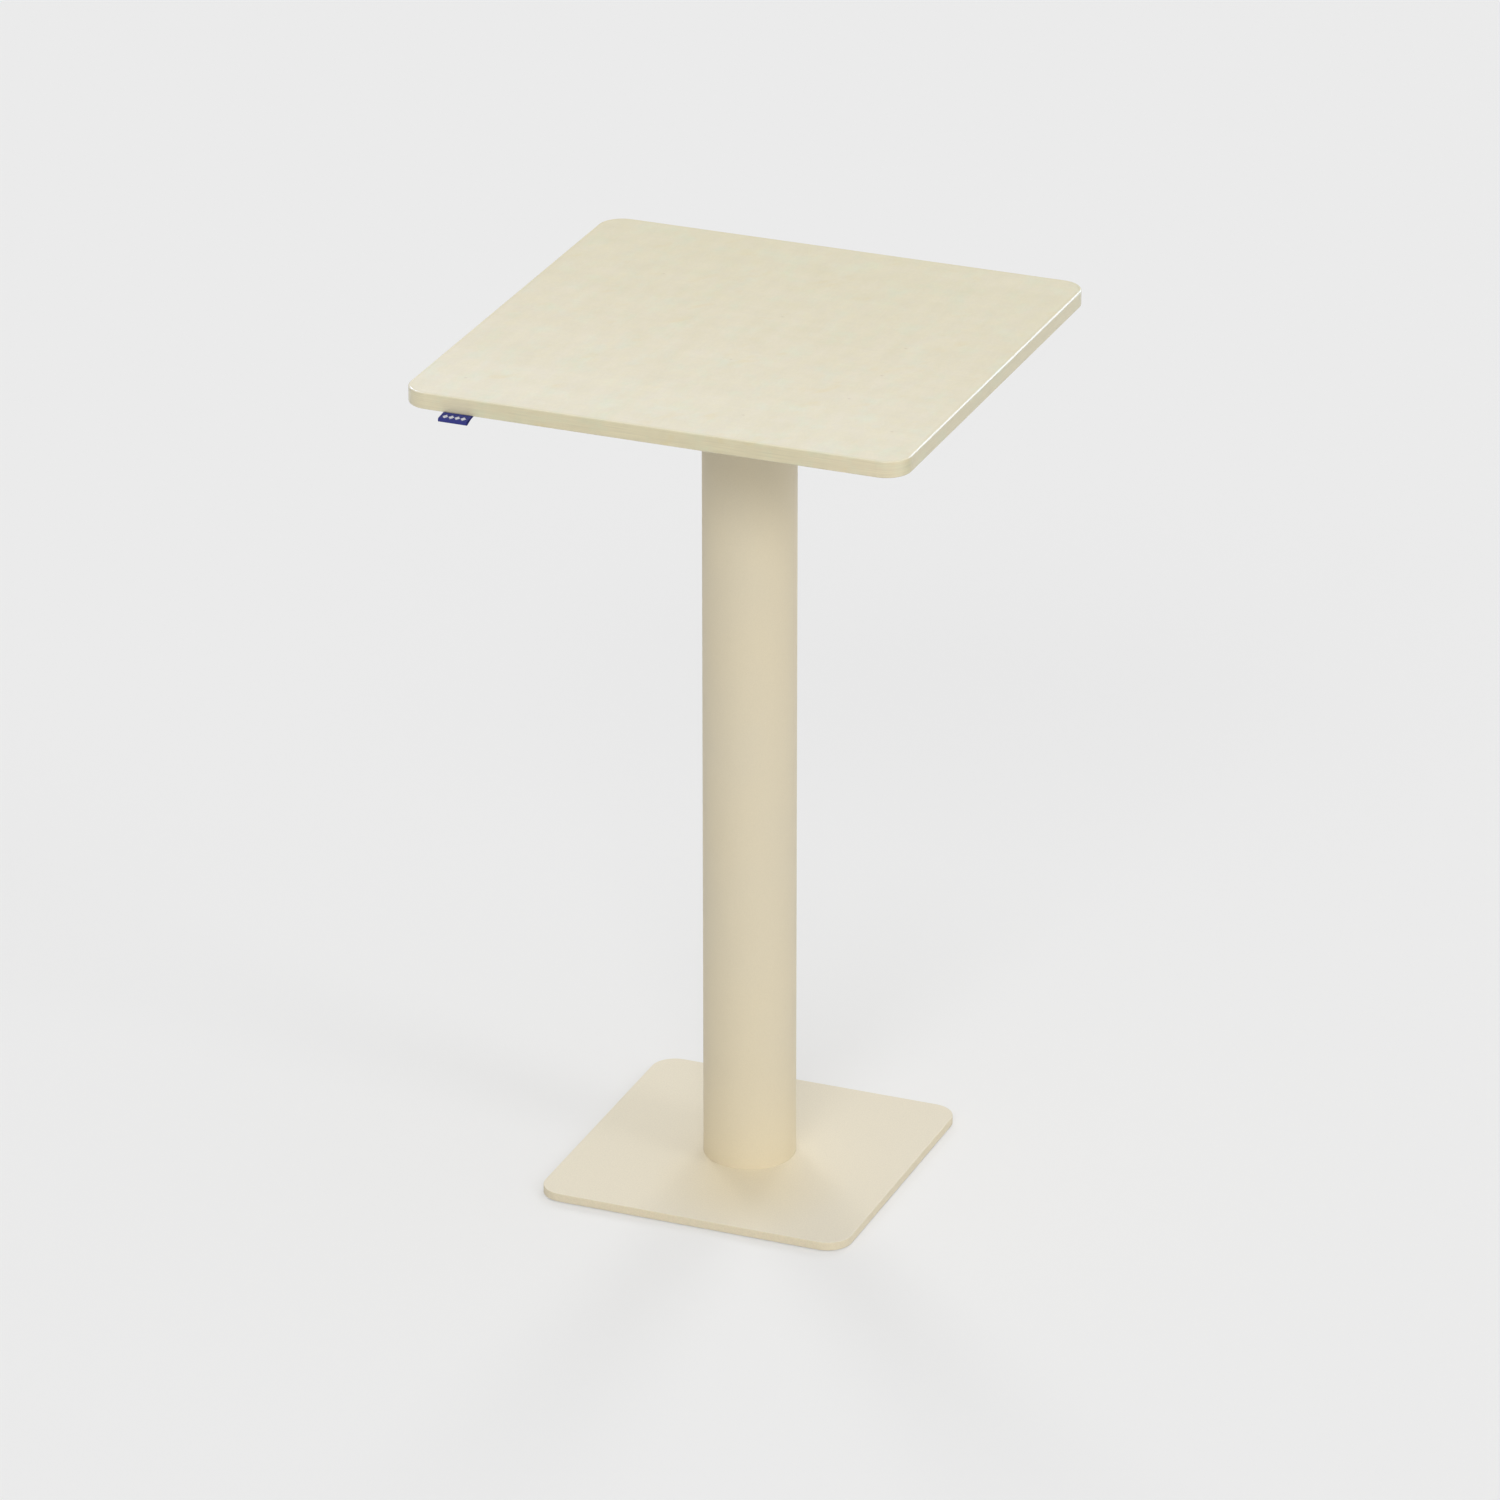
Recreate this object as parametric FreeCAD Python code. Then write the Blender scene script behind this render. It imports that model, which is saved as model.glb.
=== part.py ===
import FreeCAD, Part
import math
import os

# Telescoping pedestal table, in millimetres, with the column closed.
# The origin is on the floor under the middle of the column. +Z is up, -Y is the front,
# where the fabric tag hangs out, and +X is the side of the release lever.

# Whole table
TABLE_HEIGHT = 1050.0
LIFT_STROKE = 200.0

# Top board
TOP_SIDE = 605.0
TOP_CORNER_RADIUS = 30.0
TOP_EDGE_RADIUS = 2.0
CORE_THICKNESS = 18.0
VENEER_THICKNESS = 1.0
EDGE_BAND_THICKNESS = 4.0

# Base
BASE_SIDE = 389.0
BASE_CORNER_RADIUS = 30.0
BASE_EDGE_RADIUS = 0.8
BASE_PLATE_THICKNESS = 10.0
FLOOR_PAD_THICKNESS = 1.0
FLOOR_PAD_INSET = 4.0
GLIDE_INSET = 40.0
GLIDE_FOOT_RADIUS = 12.0
GLIDE_FOOT_THICKNESS = 3.0
GLIDE_STUD_RADIUS = 4.0
GLIDE_FLOOR_GAP = 0.3
GLIDE_SKIN = 1.5
GLIDE_SOCKET_ACROSS = 5.0
GLIDE_SOCKET_DEPTH = 2.5

# Column tubes and their guides
COLUMN_DIAMETER = 110.5
COLUMN_WALL = 3.0
COLUMN_FOOT_THICKNESS = 12.0
INNER_TUBE_WALL = 3.0
BUSH_WALL = 6.0
BUSH_LENGTH = 60.0
BUSH_FLANGE_THICKNESS = 6.0
BUSH_SCREW_DROP = 12.0
LOWER_BUSH_LENGTH = 40.0
LOWER_BUSH_LIP = 3.0
GUIDE_SPREAD = 250.0
BUFFER_THICKNESS = 4.0
COLLAR_HEIGHT = 12.0
COLLAR_DROP = 33.0
GUIDE_KEY_WIDTH = 8.0
GUIDE_KEY_HEIGHT = 4.0
GUIDE_KEY_ENGAGEMENT = 30.0
GUIDE_KEY_TOP_GAP = 1.0
GUIDE_KEY_SCREW_INSET = 25.0

# Mounting plate under the top
MOUNTING_PLATE_SIDE = 260.0
MOUNTING_PLATE_THICKNESS = 5.0
MOUNTING_PLATE_CORNER = 20.0
MOUNTING_SCREW_EDGE = 20.0
MOUNTING_SCREW_OFFSET = 45.0
GUSSET_LENGTH = 60.0
GUSSET_HEIGHT = 27.0
GUSSET_THICKNESS = 4.0
GUSSET_TOE = 5.0
INSERT_RADIUS = 5.0
INSERT_LENGTH = 12.0

# Gas spring and the standpipe that carries it
STANDPIPE_DIAMETER = 40.0
STANDPIPE_WALL = 2.5
STANDPIPE_CAP_THICKNESS = 10.0
STANDPIPE_SPIGOT_LENGTH = 15.0
CYLINDER_DIAMETER = 28.0
CYLINDER_WALL = 1.5
CYLINDER_PLUG_LENGTH = 10.0
GAS_CHAMBER_LENGTH = 20.0
PISTON_LENGTH = 20.0
PISTON_SEAL_WIDTH = 4.0
PISTON_SEAL_DEPTH = 2.0
PISTON_END_GAP = 0.5
ROD_DIAMETER = 10.0
ROD_EXPOSED = 8.0
ROD_GUIDE_LENGTH = 20.0
ROD_SEAL_LENGTH = 5.0
ROD_NUT_ACROSS = 17.0
ROD_NUT_HEIGHT = 8.0
SPRING_STUD_TAIL = 3.0
RELEASE_PIN_DIAMETER = 4.2

# Release head and lever
HEAD_HEIGHT = 40.0
HEAD_FLOOR = 14.0
HEAD_SLOT_BACK = 10.0
HEAD_SCREW_EDGE = 12.0
HEAD_SCREW_LENGTH = 18.0
RELEASE_PIN_STANDOUT = 4.0
LEVER_SECTION = 8.0
LEVER_ARM = 26.0
LEVER_SWING = 6.5
LEVER_BOSS_RADIUS = 7.0
LEVER_STRAIGHT = 24.0
LEVER_REACH = 240.0
LEVER_DROP = 24.0
PIVOT_PIN_DIAMETER = 6.0
PIVOT_PIN_RECESS = 1.0
GRIP_LENGTH = 85.0
GRIP_WIDTH = 24.0
GRIP_THICKNESS = 13.0
GRIP_ROUNDING = 5.0
GRIP_POCKET_DEPTH = 65.0

# Fabric tag and its staples
TAG_WIDTH = 35.0
TAG_SIDE_INSET = 71.8
TAG_REACH = 17.1
TAG_TUCK = 24.0
TAG_LOOP_HEIGHT = 5.0
RIBBON_THICKNESS = 0.5
STAPLE_CROWN = 11.0
STAPLE_WIRE = 0.8
STAPLE_LEG = 7.0
STAPLE_PITCH = 17.0
STAPLE_SETBACK = 12.0

# Screws: thread radius, head radius and key size
M4_RADIUS = 2.0
M4_HEAD_RADIUS = 4.0
M4_SOCKET = 2.5
M5_RADIUS = 2.5
M5_HEAD_RADIUS = 5.0
M5_SOCKET = 3.0
M6_RADIUS = 3.0
M6_HEAD_RADIUS = 6.0
M6_HEAD_HEIGHT = 3.5
M6_SOCKET = 4.0
M10_RADIUS = 5.0
M10_HEAD_RADIUS = 9.8
M10_SOCKET = 6.0
SCREW_TIP_MARGIN = 2.0

# Clearances
RUNNING_FIT = 0.08
SEAT = 0.05
THREAD_PLAY = 0.1
SLOT_PLAY = 1.0
LEVER_REST_GAP = 0.15
BUFFER_PLAY = 0.3
HEAD_RECESS = 0.3

# Levels, from the floor up
PLATE_BOTTOM = FLOOR_PAD_THICKNESS
PLATE_TOP = PLATE_BOTTOM + BASE_PLATE_THICKNESS
COLUMN_FOOT_TOP = PLATE_TOP + COLUMN_FOOT_THICKNESS
CORE_TOP = TABLE_HEIGHT - VENEER_THICKNESS
CORE_BOTTOM = CORE_TOP - CORE_THICKNESS
UNDERSIDE = CORE_BOTTOM - VENEER_THICKNESS
MOUNTING_PLATE_BOTTOM = UNDERSIDE - MOUNTING_PLATE_THICKNESS
COLLAR_TOP = MOUNTING_PLATE_BOTTOM - COLLAR_DROP
COLLAR_BOTTOM = COLLAR_TOP - COLLAR_HEIGHT
FLANGE_TOP = COLLAR_BOTTOM - BUFFER_THICKNESS
COLUMN_RIM = FLANGE_TOP - BUSH_FLANGE_THICKNESS
BUSH_BOTTOM = COLUMN_RIM - BUSH_LENGTH
LOWER_BUSH_TOP = BUSH_BOTTOM - LIFT_STROKE - GUIDE_SPREAD
LOWER_BUSH_BOTTOM = LOWER_BUSH_TOP - LOWER_BUSH_LENGTH
INNER_TUBE_BOTTOM = LOWER_BUSH_BOTTOM + LOWER_BUSH_LIP
HEAD_BOTTOM = MOUNTING_PLATE_BOTTOM - HEAD_HEIGHT
ROD_TOP = HEAD_BOTTOM + HEAD_FLOOR
ROD_NUT_BOTTOM = HEAD_BOTTOM - ROD_NUT_HEIGHT
CYLINDER_TOP = ROD_NUT_BOTTOM - ROD_EXPOSED
ROD_GUIDE_BOTTOM = CYLINDER_TOP - ROD_GUIDE_LENGTH
ROD_SEAL_BOTTOM = ROD_GUIDE_BOTTOM - ROD_SEAL_LENGTH
PISTON_TOP = ROD_SEAL_BOTTOM - PISTON_END_GAP - LIFT_STROKE
PISTON_BOTTOM = PISTON_TOP - PISTON_LENGTH
CYLINDER_PLUG_TOP = PISTON_BOTTOM - GAS_CHAMBER_LENGTH
CYLINDER_BOTTOM = CYLINDER_PLUG_TOP - CYLINDER_PLUG_LENGTH
STANDPIPE_TOP = CYLINDER_BOTTOM - STANDPIPE_CAP_THICKNESS
SPIGOT_BOTTOM = STANDPIPE_TOP - STANDPIPE_SPIGOT_LENGTH
SPRING_NUT_BOTTOM = SPIGOT_BOTTOM - ROD_NUT_HEIGHT
RELEASE_PIN_TOP = ROD_TOP + RELEASE_PIN_STANDOUT
LEVER_AXIS_Z = RELEASE_PIN_TOP + LEVER_REST_GAP + LEVER_SECTION / 2

# Radii, from the column inwards
COLUMN_RADIUS = COLUMN_DIAMETER / 2
COLUMN_BORE = COLUMN_RADIUS - COLUMN_WALL
BUSH_BORE = COLUMN_BORE - SEAT - BUSH_WALL
INNER_RADIUS = BUSH_BORE - RUNNING_FIT
INNER_BORE = INNER_RADIUS - INNER_TUBE_WALL
HEAD_RADIUS = INNER_BORE - THREAD_PLAY
GUIDE_KEY_OUTER = INNER_RADIUS + GUIDE_KEY_HEIGHT
STANDPIPE_RADIUS = STANDPIPE_DIAMETER / 2
STANDPIPE_BORE = STANDPIPE_RADIUS - STANDPIPE_WALL
CYLINDER_RADIUS = CYLINDER_DIAMETER / 2
CYLINDER_BORE = CYLINDER_RADIUS - CYLINDER_WALL
ROD_RADIUS = ROD_DIAMETER / 2
RELEASE_PIN_RADIUS = RELEASE_PIN_DIAMETER / 2
RELEASE_PIN_BORE = RELEASE_PIN_RADIUS + RUNNING_FIT
PISTON_RADIUS = CYLINDER_BORE - RUNNING_FIT
PIVOT_PIN_RADIUS = PIVOT_PIN_DIAMETER / 2

# Places that several pieces share
FOOT_BOLT_CIRCLE = (STANDPIPE_RADIUS + COLUMN_BORE) / 2
FOOT_BOLT_ANGLES = (45, 135, 225, 315)
GLIDE_PLACE = BASE_SIDE / 2 - GLIDE_INSET
GLIDE_FOOT_TOP = GLIDE_FLOOR_GAP + GLIDE_FOOT_THICKNESS
GLIDE_STUD_TOP = PLATE_TOP - GLIDE_SKIN - THREAD_PLAY
MOUNTING_SCREW_PLACE = MOUNTING_PLATE_SIDE / 2 - MOUNTING_SCREW_EDGE
HEAD_SCREW_CIRCLE = HEAD_RADIUS - HEAD_SCREW_EDGE
HEAD_SCREW_ANGLES = (60, 120, 240, 300)
RADIAL_SCREW_ANGLES = (-90, 30, 150)
GUSSET_ANGLES = (45, 135, 225, 315)
BUSH_SCREW_Z = COLUMN_RIM - BUSH_SCREW_DROP
COLLAR_SCREW_Z = COLLAR_BOTTOM + COLLAR_HEIGHT / 2
LOWER_BUSH_SCREW_Z = (LOWER_BUSH_TOP + LOWER_BUSH_BOTTOM) / 2
GUIDE_KEY_TOP = COLLAR_BOTTOM - GUIDE_KEY_TOP_GAP
GUIDE_KEY_BOTTOM = FLANGE_TOP - LIFT_STROKE - GUIDE_KEY_ENGAGEMENT
LEVER_BEND_X = INNER_RADIUS + LEVER_STRAIGHT
LEVER_SLOPE = math.atan2(LEVER_DROP, LEVER_REACH - LEVER_BEND_X)
TAG_CENTRE_X = TAG_SIDE_INSET - TOP_SIDE / 2

UP = FreeCAD.Vector(0, 0, 1)
DOWN = FreeCAD.Vector(0, 0, -1)

os.makedirs("parts", exist_ok=True)


def point(x, y, z):
    return FreeCAD.Vector(x, y, z)


def export(name, shape):
    shape.exportStep("parts/" + name + ".step")


def disc(radius, bottom, top, x=0.0, y=0.0):
    return Part.makeCylinder(radius, top - bottom, point(x, y, bottom), UP)


def ring(outer, inner, bottom, top):
    return disc(outer, bottom, top).cut(disc(inner, bottom, top))


def block(x_low, x_high, y_low, y_high, z_low, z_high):
    corner = point(x_low, y_low, z_low)
    return Part.makeBox(x_high - x_low, y_high - y_low, z_high - z_low, corner)


def polar(radius, degrees):
    angle = math.radians(degrees)
    return radius * math.cos(angle), radius * math.sin(angle)


def rounded_slab(side, radius, bottom, top):
    """A square slab with round corners, centred on the column."""
    half = side / 2
    slab = block(-half, half, -half, half, bottom, top)
    upright = [edge for edge in slab.Edges if abs(edge.BoundBox.ZLength - (top - bottom)) < SEAT]
    return slab.makeFillet(radius, upright)


def level_edges(shape, level):
    """The edges of a shape that lie flat at one level."""
    edges = []
    for edge in shape.Edges:
        box = edge.BoundBox
        if max(abs(box.ZMin - level), abs(box.ZMax - level)) < SEAT:
            edges.append(edge)
    return edges


def hexagon(across, bottom, top, x=0.0, y=0.0):
    """A six-sided prism, measured across its flats."""
    corners = []
    for degrees in range(0, 361, 60):
        step_x, step_y = polar(across / math.sqrt(3), degrees)
        corners.append(point(x + step_x, y + step_y, bottom))
    return Part.Face(Part.makePolygon(corners)).extrude(UP * (top - bottom))


def aimed(shape, place, direction):
    """Turn a shape made along +Z to a direction and move its origin to a place."""
    shape.Placement = FreeCAD.Placement(place, FreeCAD.Rotation(UP, direction))
    return shape


def around(place_radius, height, angles):
    """Places on a circle about the column, each with the direction pointing outwards."""
    for degrees in angles:
        x, y = polar(place_radius, degrees)
        yield point(x, y, height), point(x, y, 0)


def countersunk_screw(radius, head_radius, socket, length):
    """Flat head at the origin facing +Z, with the shank along -Z."""
    depth = head_radius - radius
    head = Part.makeCone(head_radius, radius, depth, point(0, 0, 0), DOWN)
    shank = Part.makeCylinder(radius, length, point(0, 0, 0), DOWN)
    return head.fuse(shank).removeSplitter().cut(hexagon(socket, -depth, 0))


def countersunk_hole(radius, head_radius, length):
    """The room for a countersunk screw whose head lies a little below the surface."""
    depth = head_radius - radius
    head = Part.makeCone(head_radius + SEAT, radius + SEAT, depth, point(0, 0, 0), DOWN)
    shank = Part.makeCylinder(radius + SEAT, length, point(0, 0, 0), DOWN)
    mouth = Part.makeCylinder(head_radius + SEAT, head_radius, point(0, 0, 0), UP)
    return head.fuse(shank).fuse(mouth)


def cut_all(shape, cutters):
    for cutter in cutters:
        shape = shape.cut(cutter)
    return shape


# Top board: a core between two veneers, with a lipping round all four sides

BOARD_SIDE = TOP_SIDE - 2 * EDGE_BAND_THICKNESS
BOARD_CORNER = TOP_CORNER_RADIUS - EDGE_BAND_THICKNESS


def mounting_screw_places():
    for sign_x in (-1, 1):
        for sign_y in (-1, 1):
            yield sign_x * MOUNTING_SCREW_PLACE, sign_y * MOUNTING_SCREW_OFFSET
            yield sign_x * MOUNTING_SCREW_OFFSET, sign_y * MOUNTING_SCREW_PLACE


def staple_places():
    y = STAPLE_SETBACK - TOP_SIDE / 2
    for side in (-1, 1):
        yield TAG_CENTRE_X + side * STAPLE_PITCH / 2, y


def staple(x, y, margin):
    """A wide staple with its crown under the tag and its legs up in the board."""
    crown_top = UNDERSIDE - 2 * RIBBON_THICKNESS
    crown_bottom = crown_top - STAPLE_WIRE
    leg_top = crown_top + STAPLE_LEG + margin
    half_wire = STAPLE_WIRE / 2 + margin
    half_crown = STAPLE_CROWN / 2
    shape = block(x - half_crown, x + half_crown, y - half_wire, y + half_wire, crown_bottom, crown_top)
    for side in (-1, 1):
        leg_x = x + side * (half_crown - STAPLE_WIRE / 2)
        leg = block(leg_x - half_wire, leg_x + half_wire, y - half_wire, y + half_wire, crown_bottom, leg_top)
        shape = shape.fuse(leg)
    return shape.removeSplitter()


def board_layer(bottom, top):
    """One layer of the board, with the holes for the inserts and the staples."""
    layer = rounded_slab(BOARD_SIDE - 2 * SEAT, BOARD_CORNER - SEAT, bottom, top)
    hole_top = UNDERSIDE + INSERT_LENGTH + SEAT
    holes = [disc(INSERT_RADIUS + SEAT, UNDERSIDE, hole_top, x, y) for x, y in mounting_screw_places()]
    holes += [staple(x, y, SEAT) for x, y in staple_places()]
    return cut_all(layer, holes)


def edge_band():
    outer = rounded_slab(TOP_SIDE, TOP_CORNER_RADIUS, UNDERSIDE, TABLE_HEIGHT)
    rims = level_edges(outer, UNDERSIDE) + level_edges(outer, TABLE_HEIGHT)
    outer = outer.makeFillet(TOP_EDGE_RADIUS, rims)
    return outer.cut(rounded_slab(BOARD_SIDE, BOARD_CORNER, UNDERSIDE, TABLE_HEIGHT))


def threaded_insert(x, y):
    sleeve = disc(INSERT_RADIUS, UNDERSIDE, UNDERSIDE + INSERT_LENGTH, x, y)
    return sleeve.cut(disc(M6_RADIUS + SEAT, UNDERSIDE, UNDERSIDE + INSERT_LENGTH, x, y))


export("top_core", board_layer(CORE_BOTTOM, CORE_TOP))
export("top_face_veneer", board_layer(CORE_TOP, TABLE_HEIGHT))
export("top_backing_veneer", board_layer(UNDERSIDE, CORE_BOTTOM))
export("edge_band", edge_band())
export("threaded_inserts", Part.makeCompound([threaded_insert(*place) for place in mounting_screw_places()]))


# Fabric tag: a folded ribbon stapled under the front edge

TAG_FRONT = -TOP_SIDE / 2
TAG_TIP = TAG_FRONT - TAG_REACH
TAG_TAIL = TAG_FRONT + TAG_TUCK
TAG_LEFT = TAG_CENTRE_X - TAG_WIDTH / 2
TAG_FOLD_RADIUS = TAG_LOOP_HEIGHT / 2


def loop_solid(wall, tail):
    """The tag's loop, drawn in by a wall at the round fold and closed by straight runs."""
    fold_y = TAG_TIP + TAG_FOLD_RADIUS
    fold_start = point(TAG_LEFT, fold_y, UNDERSIDE - wall)
    fold_tip = point(TAG_LEFT, TAG_TIP + wall, UNDERSIDE - TAG_FOLD_RADIUS)
    fold_end = point(TAG_LEFT, fold_y, UNDERSIDE - TAG_LOOP_HEIGHT + wall)
    pinch = point(TAG_LEFT, TAG_FRONT, UNDERSIDE - 2 * RIBBON_THICKNESS + wall)
    corners = [fold_end, pinch] + tail + [fold_start]
    edges = [Part.Arc(fold_start, fold_tip, fold_end).toShape()]
    edges += [Part.makeLine(start, end) for start, end in zip(corners, corners[1:])]
    return Part.Face(Part.Wire(edges)).extrude(point(TAG_WIDTH, 0, 0))


def label_tag():
    tail = [point(TAG_LEFT, TAG_TAIL, UNDERSIDE - 2 * RIBBON_THICKNESS), point(TAG_LEFT, TAG_TAIL, UNDERSIDE)]
    ribbon = loop_solid(0, tail).cut(loop_solid(RIBBON_THICKNESS, []))
    return cut_all(ribbon, [staple(x, y, SEAT) for x, y in staple_places()])


export("label_tag", label_tag())
export("tag_staples", Part.makeCompound([staple(x, y, 0) for x, y in staple_places()]))


# Base: plate, floor pad, bolts and levelling glides

FOOT_BOLT_HEAD_Z = PLATE_BOTTOM + HEAD_RECESS
FOOT_BOLT_LENGTH = COLUMN_FOOT_TOP - SCREW_TIP_MARGIN - FOOT_BOLT_HEAD_Z
GLIDES = {
    "glide_front_left": (-GLIDE_PLACE, -GLIDE_PLACE),
    "glide_front_right": (GLIDE_PLACE, -GLIDE_PLACE),
    "glide_back_left": (-GLIDE_PLACE, GLIDE_PLACE),
    "glide_back_right": (GLIDE_PLACE, GLIDE_PLACE),
}


def foot_bolts(make, *sizes):
    """One shape per foot bolt, head down in the underside of the plate."""
    for place, outwards in around(FOOT_BOLT_CIRCLE, FOOT_BOLT_HEAD_Z, FOOT_BOLT_ANGLES):
        yield aimed(make(*sizes), place, DOWN)


def base_plate():
    plate = rounded_slab(BASE_SIDE, BASE_CORNER_RADIUS, PLATE_BOTTOM, PLATE_TOP)
    plate = plate.makeFillet(BASE_EDGE_RADIUS, level_edges(plate, PLATE_TOP))
    plate = cut_all(plate, foot_bolts(countersunk_hole, M10_RADIUS, M10_HEAD_RADIUS, FOOT_BOLT_LENGTH))
    pocket_top = GLIDE_FOOT_TOP + THREAD_PLAY
    thread_top = PLATE_TOP - GLIDE_SKIN
    for x, y in GLIDES.values():
        plate = plate.cut(disc(GLIDE_FOOT_RADIUS + SLOT_PLAY, PLATE_BOTTOM, pocket_top, x, y))
        plate = plate.cut(disc(GLIDE_STUD_RADIUS + THREAD_PLAY, PLATE_BOTTOM, thread_top, x, y))
    return plate


def floor_pad():
    side = BASE_SIDE - 2 * FLOOR_PAD_INSET
    pad = rounded_slab(side, BASE_CORNER_RADIUS - FLOOR_PAD_INSET, 0, FLOOR_PAD_THICKNESS)
    for x, y in GLIDES.values():
        pad = pad.cut(disc(GLIDE_FOOT_RADIUS + SLOT_PLAY, 0, FLOOR_PAD_THICKNESS, x, y))
    for place, outwards in around(FOOT_BOLT_CIRCLE, 0, FOOT_BOLT_ANGLES):
        pad = pad.cut(disc(M10_HEAD_RADIUS + SLOT_PLAY, 0, FLOOR_PAD_THICKNESS, place.x, place.y))
    return pad


def glide(x, y):
    """A round foot on a stud, with a key socket from below."""
    foot = disc(GLIDE_FOOT_RADIUS, GLIDE_FLOOR_GAP, GLIDE_FOOT_TOP, x, y)
    foot = foot.makeFillet(GLIDE_FLOOR_GAP, level_edges(foot, GLIDE_FLOOR_GAP))
    stud = disc(GLIDE_STUD_RADIUS, GLIDE_FOOT_TOP, GLIDE_STUD_TOP, x, y)
    socket = hexagon(GLIDE_SOCKET_ACROSS, GLIDE_FLOOR_GAP, GLIDE_FLOOR_GAP + GLIDE_SOCKET_DEPTH, x, y)
    return foot.fuse(stud).removeSplitter().cut(socket)


export("base_plate", base_plate())
export("floor_pad", floor_pad())
FOOT_BOLTS = foot_bolts(countersunk_screw, M10_RADIUS, M10_HEAD_RADIUS, M10_SOCKET, FOOT_BOLT_LENGTH)
export("foot_bolts", Part.makeCompound(list(FOOT_BOLTS)))
for glide_name, glide_place in GLIDES.items():
    export(glide_name, glide(*glide_place))


# Fixed half of the column: outer tube, welded foot, guide bush and rubber buffer

BUSH_SCREW_RADIUS = COLUMN_RADIUS - HEAD_RECESS
BUSH_SCREW_LENGTH = COLUMN_WALL + BUSH_WALL - SCREW_TIP_MARGIN
GUIDE_KEYWAY_HALF = GUIDE_KEY_WIDTH / 2 + THREAD_PLAY


def bush_screws(make, *sizes):
    for place, outwards in around(BUSH_SCREW_RADIUS, BUSH_SCREW_Z, RADIAL_SCREW_ANGLES):
        yield aimed(make(*sizes), place, outwards)


def bush_screw_holes():
    return list(bush_screws(countersunk_hole, M4_RADIUS, M4_HEAD_RADIUS, BUSH_SCREW_LENGTH))


def column_foot():
    foot = disc(COLUMN_BORE - SEAT, PLATE_TOP, COLUMN_FOOT_TOP)
    for place, outwards in around(FOOT_BOLT_CIRCLE, 0, FOOT_BOLT_ANGLES):
        foot = foot.cut(disc(M10_RADIUS + SEAT, PLATE_TOP, COLUMN_FOOT_TOP, place.x, place.y))
    return foot


def outer_tube():
    return cut_all(ring(COLUMN_RADIUS, COLUMN_BORE, PLATE_TOP, COLUMN_RIM), bush_screw_holes())


def upper_bush():
    """Flanged guide bush in the mouth of the outer tube, with a keyway at the back."""
    sleeve = ring(COLUMN_BORE - SEAT, BUSH_BORE, BUSH_BOTTOM, COLUMN_RIM)
    flange = ring(COLUMN_RADIUS, BUSH_BORE, COLUMN_RIM, FLANGE_TOP)
    bush = sleeve.fuse(flange).removeSplitter()
    keyway_depth = GUIDE_KEY_OUTER + THREAD_PLAY
    keyway = block(-GUIDE_KEYWAY_HALF, GUIDE_KEYWAY_HALF, 0, keyway_depth, BUSH_BOTTOM, FLANGE_TOP)
    return cut_all(bush, [keyway] + bush_screw_holes())


export("column_foot", column_foot())
export("outer_tube", outer_tube())
export("upper_bush", upper_bush())
BUSH_SCREWS = bush_screws(countersunk_screw, M4_RADIUS, M4_HEAD_RADIUS, M4_SOCKET, BUSH_SCREW_LENGTH)
export("bush_screws", Part.makeCompound(list(BUSH_SCREWS)))
export("buffer_ring", ring(COLUMN_RADIUS, GUIDE_KEY_OUTER + BUFFER_PLAY, FLANGE_TOP, COLLAR_BOTTOM))


# Standpipe inside the column and the fixed half of the gas spring

SPRING_STUD_BOTTOM = SPRING_NUT_BOTTOM - SPRING_STUD_TAIL


def hex_nut(bottom):
    nut = hexagon(ROD_NUT_ACROSS, bottom, bottom + ROD_NUT_HEIGHT)
    return nut.cut(disc(ROD_RADIUS + SEAT, bottom, bottom + ROD_NUT_HEIGHT))


def standpipe_cap():
    cap = disc(STANDPIPE_RADIUS, STANDPIPE_TOP, CYLINDER_BOTTOM)
    spigot = disc(STANDPIPE_BORE - SEAT, SPIGOT_BOTTOM, STANDPIPE_TOP)
    return cap.fuse(spigot).removeSplitter().cut(disc(ROD_RADIUS + SEAT, SPIGOT_BOTTOM, CYLINDER_BOTTOM))


def cylinder_plug():
    plug = disc(CYLINDER_BORE - SEAT, CYLINDER_BOTTOM, CYLINDER_PLUG_TOP)
    stud = disc(ROD_RADIUS, SPRING_STUD_BOTTOM, CYLINDER_BOTTOM)
    return plug.fuse(stud).removeSplitter()


export("standpipe", ring(STANDPIPE_RADIUS, STANDPIPE_BORE, COLUMN_FOOT_TOP, STANDPIPE_TOP))
export("standpipe_cap", standpipe_cap())
export("spring_nut", hex_nut(SPRING_NUT_BOTTOM))
export("cylinder_tube", ring(CYLINDER_RADIUS, CYLINDER_BORE, CYLINDER_BOTTOM, CYLINDER_TOP))
export("cylinder_plug", cylinder_plug())
export("rod_guide", ring(CYLINDER_BORE - SEAT, ROD_RADIUS + RUNNING_FIT, ROD_GUIDE_BOTTOM, CYLINDER_TOP))
export("rod_seal", ring(CYLINDER_BORE - SEAT, ROD_RADIUS + RUNNING_FIT, ROD_SEAL_BOTTOM, ROD_GUIDE_BOTTOM))


# Moving half of the gas spring

PISTON_SEAL_BOTTOM = (PISTON_TOP + PISTON_BOTTOM - PISTON_SEAL_WIDTH) / 2
PISTON_SEAL_TOP = PISTON_SEAL_BOTTOM + PISTON_SEAL_WIDTH
PISTON_GROOVE_RADIUS = PISTON_RADIUS - PISTON_SEAL_DEPTH
RELEASE_PIN_BOTTOM = (PISTON_TOP + PISTON_BOTTOM) / 2


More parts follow.
